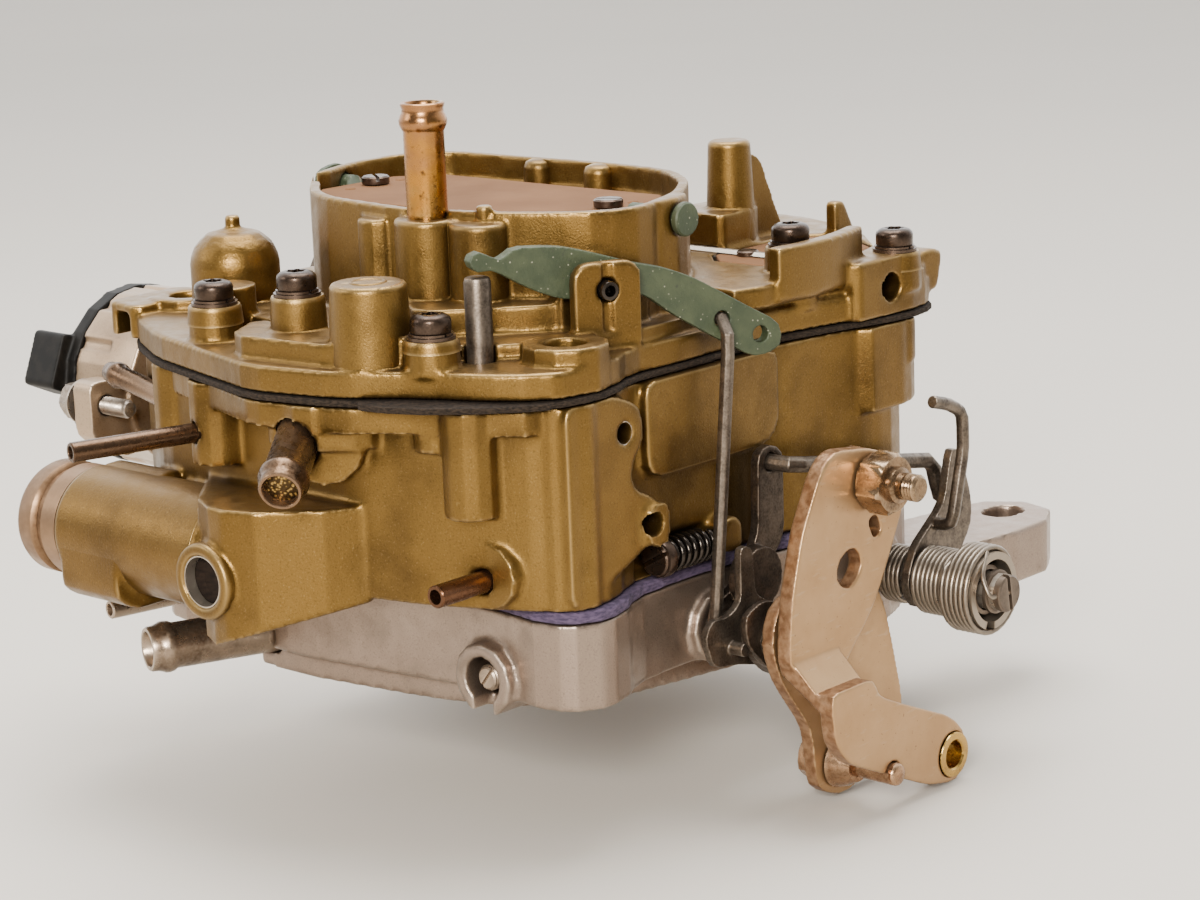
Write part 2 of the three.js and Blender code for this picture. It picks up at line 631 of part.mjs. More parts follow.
function airHorn() {
  let horn = cut(
    airHornOutside(),
    prism(outline(towerInner, 4.5), LEDGE_Z, REACH, 2),
    prism(outline(chokeMouth, 8), 71, REACH),
    ...bores(PRIMARY_R - 1, SECONDARY_R - 1, 60, 71.5),
  );
  for (const mouth of [valveMouth, mirror(valveMouth)]) {
    horn = cut(horn, prism(outline(mouth, 6), 66, AIR_VALVE_Z + 6));
  }
  horn = join(horn, rearStanding());
  return cut(
    horn,
    rodX(-REACH, REACH, CHOKE_Y, CHOKE_Z, CHOKE_SHAFT_R + GAP, 12),
    rodX(-57, 57, AIR_VALVE_Y, AIR_VALVE_Z, AIR_SHAFT_R + GAP, 10),
    leverRod(-12, 8, PIVOT_PIN_R + GAP),
    post(VENT_TUBE.x, VENT_TUBE.y, VENT_TUBE.foot, REACH, VENT_TUBE.r + GAP),
    post(WELL.x, WELL.y, 60, REACH, STEM_R + GAP, STEM_R + GAP, 12),
    ...frontBoltHoles(60, REACH),
    ...coverScrewHoles(60, REACH),
    rodX(57, 70, 18.5, 72.6, 3, 16),
    box(-62.5, -57, -90, -74.5, 66, 72.2),
  );
}

part('air_horn', airHorn(), castGold);

// ---------------------------------------------------------------- tubes and fuel inlet

function ventTube() {
  const { r, foot, top } = VENT_TUBE;
  const bore = r - 1;
  const z = top - foot;
  return turned([VENT_TUBE.x, VENT_TUBE.y, foot + GAP], [0, 0, 1], [
    [bore, 0], [r, 0], [r, z - 5], [r + 0.7, z - 4], [r + 0.7, z - 2.4], [r, z - 1.4], [r, z], [bore, z],
    [bore, 0],
  ], 16);
}

const shifted = (at, direction, distance) => {
  const step = new THREE.Vector3(...direction).setLength(distance);
  return [at[0] + step.x, at[1] + step.y, at[2] + step.z];
};

function fuelInletNut() {
  const x0 = -66;
  const shoulder = 12.7;
  return turned([x0, FUEL_Y, FUEL_Z], [1, 0, 0], [
    [4.2, 0], [10.8, 0], [11.9, 1.2], [11.9, 5], [10.9, 5.6], [10.9, 7.4], [11.9, 8], [11.9, shoulder],
    [FUEL_BORE, shoulder], [FUEL_BORE, 36], [4.2, 36], [4.2, 0],
  ], 18);
}

part('vent_tube', ventTube(), brass);
part('front_vacuum_tube', hose(shifted(FRONT_TUBE.at, FRONT_TUBE.direction, 0.4), FRONT_TUBE.direction,
  27, FRONT_TUBE.outer, 3.2, 0.6), brass);
part('thin_vacuum_tube', pipe(shifted(THIN_TUBE.at, THIN_TUBE.direction, 0.4), THIN_TUBE.direction,
  36, 2, 1.1, 12), darkSteel);
part('stub_tube', hose(shifted(STUB_TUBE.at, STUB_TUBE.direction, 0.4), STUB_TUBE.direction,
  25, 2.3, 1.3, 0.5), brass);
part('pcv_tube', hose(shifted(PCV.at, PCV.direction, 0.4), PCV.direction, 33, PCV.outer, 3.4, 0.6),
  zincPlate);
part('base_vacuum_tube', pipe(shifted(VACUUM_PORT.at, VACUUM_PORT.direction, 0.4), VACUUM_PORT.direction,
  24, 2, 1.1, 12), darkSteel);
part('bleed_tube', pipe([BLEED_TUBE.x, BLEED_TUBE.y - 24, BLEED_TUBE.z], [0, 1, 0], 23.6, 2.2, 1.2, 12),
  copper);
part('fuel_inlet_nut', fuelInletNut(), zincPlate);
part('inlet_port_plug', rodY(INLET_PORT.x, -112.5, -106 - GAP, INLET_PORT.z, INLET_PORT.r), blackPlastic);

// ---------------------------------------------------------------- cover screws

function coverScrew({ x, y, seat }) {
  const length = seat - COVER_SCREW_FOOT;
  const r = COVER_SCREW_R;
  return turned([x, y, COVER_SCREW_FOOT + GAP], [0, 0, 1], [
    [0, 0], [r, 0], [r, length], [4.6, length], [4.6, length + 1.1], [3.9, length + 1.2],
    [3.9, length + 3.2], [2.9, length + 4.6], [1.5, length + 4.8], [1.5, length + 2.6], [0, length + 2.6],
  ], 12);
}

for (const place of COVER_SCREWS) {
  part(`cover_screw_${place.name}`, coverScrew(place), darkSteel);
}

// ---------------------------------------------------------------- automatic choke

const chokeArm = { y: CHOKE_Y + 14, z: CHOKE_Z - 5 };
const coilArm = { y: COIL.y + 14, z: COIL.z - 5 };
const ROD_R = 1.4;
const CHOKE_LEVER_X = -50.6;
const CHOKE_ROD_X = -62.2;

function chokeShaft() {
  const lever = [
    [CHOKE_Y - 4, CHOKE_Z - 2], [CHOKE_Y + 2, CHOKE_Z - 5], [chokeArm.y, chokeArm.z - 4],
    [chokeArm.y + 4, chokeArm.z], [chokeArm.y, chokeArm.z + 4], [CHOKE_Y + 2, CHOKE_Z + 4.5],
    [CHOKE_Y - 4, CHOKE_Z + 3],
  ];
  const shaft = join(
    rodX(CHOKE_LEVER_X, 52.4, CHOKE_Y, CHOKE_Z, CHOKE_SHAFT_R, 12),
    rodX(50.9, 52.4, CHOKE_Y, CHOKE_Z, CHOKE_SHAFT_R + 0.9, 16),
    plateX(lever, CHOKE_LEVER_X, CHOKE_LEVER_X + 1.5, 2),
  );
  const slot = box(-41.6, 37.6, CHOKE_Y - 5, CHOKE_Y + 5, CHOKE_Z - PLATE_SLOT / 2,
    CHOKE_Z + PLATE_SLOT / 2);
  const eye = rodX(-52, -48, chokeArm.y, chokeArm.z, ROD_R + GAP, 10);
  return cut(shaft, slot.intersect(rodX(-45, 45, CHOKE_Y, CHOKE_Z, CHOKE_SHAFT_R + 1)), eye);
}

function chokePlate() {
  const inset = 0.7;
  const edge = [[-42 + inset, -18.6], [38 - inset, -18.6], [38 - inset, 18.6], [-42 + inset, 18.6]];
  const plate = prism(outline(edge, 8), CHOKE_Z - PLATE_T / 2, CHOKE_Z + PLATE_T / 2);
  return plate.translate([0, CHOKE_Y, 0]);
}

function chokeRod() {
  return wire([
    [CHOKE_LEVER_X + 1.8, chokeArm.y, chokeArm.z], [-53, chokeArm.y, chokeArm.z], [-53, chokeArm.y, 83],
    [CHOKE_ROD_X, chokeArm.y - 4, 80], [CHOKE_ROD_X, coilArm.y, coilArm.z], [-66.2, coilArm.y, coilArm.z],
  ], ROD_R, 1.5, 18);
}

function coilLever() {
  const arm = [
    [COIL.y - 5, COIL.z - 3], [COIL.y + 2, COIL.z - 5.5], [coilArm.y, coilArm.z - 4],
    [coilArm.y + 4, coilArm.z],
    [coilArm.y, coilArm.z + 4], [COIL.y + 2, COIL.z + 5], [COIL.y - 5, COIL.z + 3.5],
  ];
  return cut(
    join(plateX(arm, -65.8, -64.6, 2), rodX(-72, -64.6, COIL.y, COIL.z, 2.5, 12)),
    rodX(-67, -63, coilArm.y, coilArm.z, ROD_R + GAP, 10),
  );
}

// A round housing on a neck that stands on the side of the float bowl.
function chokeHousing() {
  const { y, z, r } = COIL;
  const flutes = Array.from({ length: 12 }, (_, i) => {
    const angle = (i / 12) * 2 * Math.PI;
    return rodX(-90, -78, y + r * 1.04 * Math.cos(angle), z + r * 1.04 * Math.sin(angle), 2, 6);
  });
  const neck = [[y, z - 24], [y + 12, z - 24], [y + 12, z - 12], [y, z - 12]];
  const screwArm = [[-87, 44], [-78, 38], [-72, 40], [-72, 52], [-80, 56], [-87, 56]];
  return cut(
    join(
      rodX(-88, -69, y, z, r, 20),
      plateX(neck, -80, -55.6 - GAP, 2),
      plateX(screwArm, -76, -70, 2),
    ),
    ...flutes,
    rodX(-90, -74, y, z, r - 3, 20),
    rodX(-80, -60, y, z, 2.5 + GAP, 12),
    rodX(-90, -60, CHOKE_SCREW.y, CHOKE_SCREW.z, 2 + GAP, 12),
  );
}

function chokeCover() {
  const { y, z, r } = COIL;
  const socket = [[y - 24, z + 0.5], [y - 15, z - 3.7], [y - 6.7, z + 8.1], [y - 19.5, z + 12]];
  return join(
    rodX(-92, -88 - GAP, y, z, r, 20),
    rodX(-91, -84, y, z, r - 3.4, 20),
    plateX(socket, -101, -91, 1),
  );
}

function chokeScrew() {
  const { y, z } = CHOKE_SCREW;
  return join(
    hexagon([-82, y, z], [1, 0, 0], 4, 7.4),
    rodX(-78.1, -77 - GAP, y, z, 5, 16),
    rodX(-78.1, -62, y, z, 2, 12),
  );
}

part('choke_shaft', chokeShaft(), greenPaint);
part('choke_plate', chokePlate(), plateBrown);
part('choke_rod', chokeRod(), darkSteel);
part('choke_coil_lever', coilLever(), zincPlate);
part('choke_housing', chokeHousing(), castGrey);
part('choke_cover', chokeCover(), blackPlastic);
part('choke_adjusting_screw', chokeScrew(), zincPlate);

// ---------------------------------------------------------------- air valve and metering rods

const HANGER = { y: 16, z: 84 };

function airValveShaft() {
  const { y, z } = { y: AIR_VALVE_Y, z: AIR_VALVE_Z };
  const shaft = rodX(-56.5, 56.5, y, z, AIR_SHAFT_R, 10);
  const slots = [1, -1].map((side) => {
    const [x0, x1] = side > 0 ? [26.2, 56] : [-56, -26.2];
    return box(x0, x1, y - 3, y + 3, z - PLATE_SLOT / 2, z + PLATE_SLOT / 2);
  });
  return cut(shaft, ...slots);
}

function airValvePlate(side) {
  const inner = [[26.6, -0.2], [49.4, -0.2], [53.6, 10], [53.1, 23.6], [45.6, 35.1], [26.6, 37]];
  const shape = outline(side > 0 ? inner : mirror(inner), 6);
  return prism(shape, AIR_VALVE_Z - PLATE_T / 2, AIR_VALVE_Z + PLATE_T / 2);
}

part('air_valve_shaft', airValveShaft(), brightSteel);
part('air_valve_plate_right', airValvePlate(1), plateBrown);
part('air_valve_plate_left', airValvePlate(-1), plateBrown);

// ---------------------------------------------------------------- accelerator pump

function pumpLever() {
  const edge = [
    [-27.3, 7.7], [-24.8, 10], [-20.4, 6.9], [-18.1, 9.4], [-13.6, 9.3], [-7.4, 8.7], [-1.2, 6.9],
    [7.5, 4],
    [13.4, 2.6], [19.8, 0], [32.7, -7.7], [38.6, -11], [38.9, -16], [32.8, -17.6], [21.6, -10.9],
    [14.8, -6.6],
    [9, -2], [-7.4, -1.7], [-13.9, 0.9], [-22.5, 6], [-25, 5.1],
  ];
  return cut(
    alongLever(edge, -LEVER_T / 2, LEVER_T / 2, 2.4),
    leverRod(-3, 3, PIVOT_PIN_R + GAP, 0, 0, 16),
    leverRod(-3, 3, ROD_R + GAP, PUMP_ROD_EYE.u, PUMP_ROD_EYE.w, 12),
    leverRod(-3, 3, 1.7, 34.1, -12.9, 12),
  );
}

const leverPoint = (u, w, v) => {
  const [px, py, pz] = LEVER_PIVOT;
  const s = Math.sin(LEVER_ANGLE);
  const c = Math.cos(LEVER_ANGLE);
  return [px + u * s + v * c, py + u * c - v * s, pz + w];
};

// The rod hangs in the lever's eye and ends behind the throttle pin, where its real hook passes.
function pumpRod() {
  const { u, w } = PUMP_ROD_EYE;
  return wire([
    leverPoint(u, w, -2.6), leverPoint(u, w, 3.1), leverPoint(u, w - 5, 3.6), PUMP_ROD_FOOT,
  ], ROD_R, 1.8, 18);
}

function pumpPlunger() {
  const top = 88;
  return turned([WELL.x, WELL.y, 47], [0, 0, 1], [
    [0, 0], [WELL.r - 0.8, 0], [WELL.r - 0.4, 1.5], [WELL.r - 0.8, 4], [3.6, 5.4], [STEM_R, 6.2],
    [STEM_R, top - 48], [STEM_R - 0.6, top - 47], [0, top - 47],
  ]);
}

part('pump_lever', pumpLever(), greenPaint);
part('pump_pivot_pin', leverRod(-10, 6.2, PIVOT_PIN_R), darkSteel);
part('pump_rod', pumpRod(), darkSteel);
part('pump_plunger', pumpPlunger(), darkSteel);

// ---------------------------------------------------------------- float and needle

function needleSeat() {
  const { x, y, r } = NEEDLE_SEAT;
  return turned([x, y, 30.6], [0, 0, 1], [[1.2, 0], [r, 0], [r, 8], [2.2, 8], [2.2, 2.5], [1.2, 1.4],
    [1.2, 0]]);
}

function floatNeedle() {
  const { x, y } = NEEDLE_SEAT;
  return turned([x, y, 32.4], [0, 0, 1], [[0, 0], [0.7, 0.2], [1.8, 3], [1.8, 22.4], [0, 22.4]], 12);
}

function floatPontoon() {
  const { y, z, r } = FLOAT_HINGE;
  const tang = z - 3.4;
  return cut(join(
    prism(outline([[-27, -74], [18, -74], [18, -56], [-27, -56]], 4), 40, 55),
    box(-14, -9, -77, -72, 52, z + 1.8),
    box(3, 8, -77, -72, 52, z + 1.8),
    box(-14, 8, y - 2.4, y + 3, z - 1.8, z + 1.8),
    box(NEEDLE_SEAT.x - 2, NEEDLE_SEAT.x + 2, NEEDLE_SEAT.y - 1.6, y, tang - 1.2, z - 0.6),
  ), rodX(-20, 14, y, z, r + GAP, 12));
}

part('needle_seat', needleSeat(), brass);
part('float_needle', floatNeedle(), brass);
part('float', floatPontoon(), foamBlack);
part('float_hinge_pin', rodX(CHAMBER.x0 - 2.4, CHAMBER.x1 + 2.4, FLOAT_HINGE.y, FLOAT_HINGE.z,
  FLOAT_HINGE.r, 10),
  brightSteel);

// ---------------------------------------------------------------- throttle shafts and plates

// A shaft across the body, flattened where it carries each throttle plate.
function throttleShaft(y, x0, x1, boreX, boreR) {
  const slots = [boreX, -boreX].map((x) =>
    box(x - boreR, x + boreR, y - SHAFT_R - 1, y + SHAFT_R + 1, SHAFT_Z - PLATE_SLOT / 2,
      SHAFT_Z + PLATE_SLOT / 2));
  return cut(rodX(x0, x1, y, SHAFT_Z, SHAFT_R), ...slots);
}

const throttlePlate = (x, y, r) => post(x, y, SHAFT_Z - PLATE_T / 2, SHAFT_Z + PLATE_T / 2, r - GAP,
  r - GAP, 32);

part('primary_shaft', throttleShaft(PRIMARY_Y, -62, 78, PRIMARY_X, PRIMARY_R), brightSteel);
part('primary_plate_right', throttlePlate(PRIMARY_X, PRIMARY_Y, PRIMARY_R), brass);
part('primary_plate_left', throttlePlate(-PRIMARY_X, PRIMARY_Y, PRIMARY_R), brass);
part('secondary_shaft', throttleShaft(SECONDARY_Y, -62, 91, SECONDARY_X, SECONDARY_R), brightSteel);
part('secondary_plate_right', throttlePlate(SECONDARY_X, SECONDARY_Y, SECONDARY_R), brass);
part('secondary_plate_left', throttlePlate(-SECONDARY_X, SECONDARY_Y, SECONDARY_R), brass);

// ---------------------------------------------------------------- throttle levers

const shaftHole = (x0, x1, y = PRIMARY_Y) => rodX(x0 - 1, x1 + 1, y, SHAFT_Z, SHAFT_R + GAP);

function pumpThrottleLever() {
  const x0 = 66;
  const x1 = 67.6;
  const edge = [
    [-49.4, 14], [-47.1, 17.3], [-41.9, 16.8], [-38.2, 19], [-38, 30.2], [-34.4, 29.6], [-33.6, 19.6],
    [-27.5, 16], [-26.5, 9], [-30, 4], [-39.8, 6.6], [-46.9, 7.6],
  ];
  return cut(
    join(plateX(edge, x0, x1, 1.6), rodX(x0, 71, PUMP_PIN.y, PUMP_PIN.z, ROD_R, 10)),
    shaftHole(x0, x1),
  );
}

function throttleCam() {
  const x0 = 68.4;
  const x1 = 72.6;
  const edge = [
    [-40.4, 15], [-38.1, 8], [-33.6, 3.7], [-25.7, 0.4], [-19.5, -1.8], [-18.5, 0.6], [-25.4, 5],
    [-27.4, 12],
    [-30, 17.4], [-35, 18.4],
  ];
  const step = [[-43, 18], [-42.5, 12], [-36, 5.4], [-28, 6], [-27.6, 13], [-31, 18], [-37, 20]];
  const pin = rodX(67, 71.6, PUMP_PIN.y, PUMP_PIN.z, ROD_R + 0.7, 12);
  return cut(join(plateX(edge, x0, x1, 1.6), plateX(step, 71, x1, 2)), shaftHole(x0, x1), pin);
}

function innerThrottleLever() {
  const x0 = 74.3;
  const x1 = 77.2;
  const edge = [
    [-41, 12], [-39, 19], [-33, 21.5], [-20, 20.5], [-8, 18], [-4.5, 13], [-1.9, 4.1], [1.5, -9.7],
    [0.4, -14.5],
    [-8, -22], [-20, -24.5], [-27.5, -21], [-29, -8], [-38, 4],
  ];
  return cut(plateX(edge, x0, x1, 3), shaftHole(x0, x1), rodX(x0 - 1, x1 + 1, LEVER_BOLT.y, LEVER_BOLT.z,
    2.6, 12));
}

// The cable lever: an upper plate, a joggle outwards, and an arm hanging below.
function outerThrottleLever() {
  const upper = [
    [-25.1, 48.7], [-29.3, 45.9], [-35.7, 34.3], [-39.2, 22.1], [-40.4, 12], [-40, 6.5], [-24, 3],
    [-21.5, 6.5],
    [-15.5, 12.2], [-11.4, 17.5], [-6.8, 25.8], [-2.6, 34], [-1.8, 39.8], [-4, 43.4], [-13.9, 47.2],
  ];
  const arm = [
    [-39.8, 4.5], [-38.8, -5.7], [-34.5, -11], [-18.3, -18.3], [-8.3, -22.8], [1, -24.6], [5.4, -20],
    [3.4, -13.6],
    [-1.2, -9.9], [-18, -2.7], [-25, 0.6], [-26, 4.5],
  ];
  const slot = [[-19, 28.5], [-16.5, 23.9], [-21.2, 19.4], [-25.6, 22.5], [-24.2, 27]];
  const joggle = slabY([[LEVER_A.x0, 6.6], [LEVER_A.x1, 9], [LEVER_A.arm1, 0], [LEVER_A.arm0, 0.4]],
    -39.6, -25.2);
  return cut(
    join(plateX(upper, LEVER_A.x0, LEVER_A.x1, 2.5), joggle, plateX(arm, LEVER_A.arm0, LEVER_A.arm1,
      2.5)),
    plateX(slot, LEVER_A.x0 - 1, LEVER_A.x1 + 1, 2.2),
    plateX([[-14.9, 32.6], [-11.9, 33.4], [-10.2, 29.6], [-12.9, 28.2]], LEVER_A.x0 - 1, LEVER_A.x1 + 1,
      1.2),
    rodX(LEVER_A.x0 - 1, LEVER_A.x1 + 1, STUD.y, STUD.z, STUD.r + GAP, 12),
    rodX(LEVER_A.arm0 - 1, LEVER_A.arm1 + 1, BUSHING.y, BUSHING.z, BUSHING.r + GAP, 20),
    rodX(LEVER_A.arm0 - 3, LEVER_A.arm1 + 1, LEVER_BOLT.y, LEVER_BOLT.z, 2.6, 12),
  );
}

function throttleStud() {
  return join(
    rodX(73.8, LEVER_A.x1 + GAP + 1, STUD.y, STUD.z, STUD.r, 12),
    hexagon([LEVER_A.x1 + GAP, STUD.y, STUD.z], [1, 0, 0], 6, 11),
    turned([LEVER_A.x1 + 6, STUD.y, STUD.z], [1, 0, 0],
      [[0, 0], [3.6, 0], [3.6, 1.2], [2.75, 1.6], [2.75, 5.6], [2.1, 6.4], [0, 6.4]]),
  );
}

function throttleStudNut() {
  const x0 = LEVER_A.x0 - GAP - 3.7;
  return cut(hexagon([x0, STUD.y, STUD.z], [1, 0, 0], 3.7, 11), rodX(x0 - 1, x0 + 5, STUD.y, STUD.z,
    STUD.r + GAP, 12));
}

function cableBushing() {
  const x0 = LEVER_A.arm0 - 1.4;
  const x1 = LEVER_A.arm1 + 0.5;
  const flange = x0 + 1.1;
  const { r } = BUSHING;
  return turned([x0, BUSHING.y, BUSHING.z], [1, 0, 0], [
    [2.8, 0], [r + 1.2, 0], [r + 1.2, flange - x0], [r, flange - x0], [r, x1 - x0], [2.8, x1 - x0],
    [2.8, 0],
  ], 18);
}

function leverBolt() {
  const { y, z } = LEVER_BOLT;
  const head = 70;
  return join(
    hexagon([head, y, z], [1, 0, 0], 3.1, 9),
    rodX(head + 3, head + 4, y, z, 5.6, 16),
    rodX(head + 3, 92.5, y, z, 2.3, 12),
    rod([77.5, y, z], [1, 0, 0], 5, 5.4, 3.4, 12),
  );
}

part('pump_throttle_lever', pumpThrottleLever(), zincPlate);
part('throttle_cam', throttleCam(), zincPlate);
part('throttle_lever_inner', innerThrottleLever(), zincPlate);
part('throttle_lever_outer', outerThrottleLever(), zincPlate);
part('throttle_stud', throttleStud(), zincPlate);
part('throttle_stud_nut', throttleStudNut(), zincPlate);
part('cable_bushing', cableBushing(), brass);
part('lever_bolt', leverBolt(), darkSteel);

// ---------------------------------------------------------------- secondary linkage

function secondaryActuator() {
  const x0 = 59.3;
  const x1 = 61.5;
  const edge = [
    [-40.2, 11], [-38, 6], [-31, 5], [-27, 11], [-25.4, 18], [-16.6, 27], [-16.3, 44.6], [-20.4, 46.9],
    [-24.3, 45.4],
    [-24.8, 29], [-31, 20.6], [-38, 17.6],
  ];
  return cut(
    join(plateX(edge, x0, x1, 2.2), rodX(x1 - 0.2, 65, -28.2, 21.2, 6.4, 18)),
    shaftHole(x0, 66),
    rodX(x0 - 1, x1 + 1, LINK_PIN.y, LINK_PIN.z, LINK_R + GAP, 12),
  );
}

function linkRod() {
  return wire([
    [58.9, LINK_PIN.y, LINK_PIN.z], [LINK_X, LINK_PIN.y, LINK_PIN.z], [LINK_X, 28, 34.2],
    [LINK_X, SECONDARY_PIN.y, SECONDARY_PIN.z], [69.1, SECONDARY_PIN.y, SECONDARY_PIN.z],
  ], LINK_R, 2.2, 20);
}

function secondaryLever() {
  const x0 = 69.5;
  const x1 = 71.6;
  const edge = [
    [SECONDARY_Y - 7, SHAFT_Z], [SECONDARY_Y - 4, SHAFT_Z - 6], [SECONDARY_Y + 5, SHAFT_Z - 6],
    [34.5, 20], [34.4, 26], [30.6, 36.4], [27.6, 38], [24.6, 26], [SECONDARY_Y - 4, SHAFT_Z + 7],
  ];
  const hook = wire([
    [71, 22, 22.4], [77, 19.7, 23.5], [77, 23.9, 38.7], [77, 23.7, 46.8], [77, 18.8, 49.4],
    [77, 13.2, 50.9],
  ], ROD_R, 2, 20);
  return cut(join(plateX(edge, x0, x1, 2.5), hook), shaftHole(x0, x1, SECONDARY_Y));
}

part('secondary_actuator', secondaryActuator(), darkSteel);
part('link_rod', linkRod(), darkSteel);
part('secondary_lever', secondaryLever(), darkSteel);
part('secondary_spring_inner', ribbedSleeve([62.5, SECONDARY_Y, SHAFT_Z], [1, 0, 0], 3, 2, 6.2,
  SHAFT_R + GAP), darkSteel);
part('secondary_spring_outer', secondarySpring(), darkSteel);

// A stepped winding: a slim stretch beside the lever, then the wide coil at the shaft's end.
function secondarySpring() {
  const slim = ribbedSleeve([72.2, SECONDARY_Y, SHAFT_Z], [1, 0, 0], 4, 2.4, 7.4, SHAFT_R + GAP);
  const wide = ribbedSleeve([81.6, SECONDARY_Y, SHAFT_Z], [1, 0, 0], 3, 2.3, 9.5, SHAFT_R + GAP);
  return join(slim, wide);
}

// ---------------------------------------------------------------- adjusting screws

function idleSpeedScrew() {
  const { x, z, head, tip, r } = IDLE_SCREW;
  return turned([x, head, z], [0, 1, 0], [
    [0, 0.8], [r - 0.8, 0.8], [r, 0], [r, 3.2], [IDLE_SCREW_R, 3.4], [IDLE_SCREW_R, tip - head - 1],
    [0.8, tip - head],
    [0, tip - head],
  ]);
}

function mixtureNeedle(side) {
  const start = -80.5;
  const length = NEEDLE_END - start;
  return turned([side * NEEDLE_X, start, NEEDLE_Z], [0, 1, 0], [
    [0, 0], [2.6, 0], [2.6, 5], [NEEDLE_R, 5.4], [NEEDLE_R, length - 4], [0.5, length - 0.6],
    [0, length - 0.6],
  ], 12);
}

part('idle_speed_screw', idleSpeedScrew(), zincPlate);
part('idle_screw_spring', ribbedSleeve([IDLE_SCREW.x, IDLE_SCREW.head + 3.5, IDLE_SCREW.z], [0, 1, 0],
  5, 2.4, 3.5, IDLE_SCREW_R + GAP), darkSteel);
part('mixture_needle_right', mixtureNeedle(1), brass);
part('mixture_needle_left', mixtureNeedle(-1), brass);

export default group;
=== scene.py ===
import json
import math

import bpy
from mathutils import Matrix, Vector


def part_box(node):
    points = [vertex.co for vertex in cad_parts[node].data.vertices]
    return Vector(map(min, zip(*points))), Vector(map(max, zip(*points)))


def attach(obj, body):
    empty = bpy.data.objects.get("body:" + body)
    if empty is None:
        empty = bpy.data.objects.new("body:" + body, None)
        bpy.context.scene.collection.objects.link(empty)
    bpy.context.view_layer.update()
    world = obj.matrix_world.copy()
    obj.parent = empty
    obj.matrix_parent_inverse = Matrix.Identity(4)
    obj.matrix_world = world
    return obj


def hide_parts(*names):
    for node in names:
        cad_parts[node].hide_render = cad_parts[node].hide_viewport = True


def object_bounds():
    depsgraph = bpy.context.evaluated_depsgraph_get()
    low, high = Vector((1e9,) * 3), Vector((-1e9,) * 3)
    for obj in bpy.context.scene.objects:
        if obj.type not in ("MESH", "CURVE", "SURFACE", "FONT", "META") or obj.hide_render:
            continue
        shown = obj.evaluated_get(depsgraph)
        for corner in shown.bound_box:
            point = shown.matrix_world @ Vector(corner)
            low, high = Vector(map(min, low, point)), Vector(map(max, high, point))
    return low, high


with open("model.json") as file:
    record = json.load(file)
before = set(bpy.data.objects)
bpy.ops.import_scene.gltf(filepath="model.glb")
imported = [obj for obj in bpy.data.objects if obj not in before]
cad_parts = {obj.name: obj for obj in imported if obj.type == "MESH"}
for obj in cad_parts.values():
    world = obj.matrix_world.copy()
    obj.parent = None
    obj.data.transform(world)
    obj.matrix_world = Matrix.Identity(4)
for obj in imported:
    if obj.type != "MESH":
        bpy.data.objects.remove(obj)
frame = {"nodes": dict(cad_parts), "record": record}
cad_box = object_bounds()

MM = 0.001
BODY_OF = {node: body for body, nodes in frame["record"]["behaviour"]["bodies"].items() for node in nodes}


def mm(point):
    return Vector(point) * MM


# ---------------------------------------------------------------- materials


# The lights are strong enough for a near-white floor, so colours are written for a dimmer room and scaled.
TONE = (0.62, 0.57, 0.50)


def toned(colour):
    return tuple(part * scale for part, scale in zip(colour, TONE))


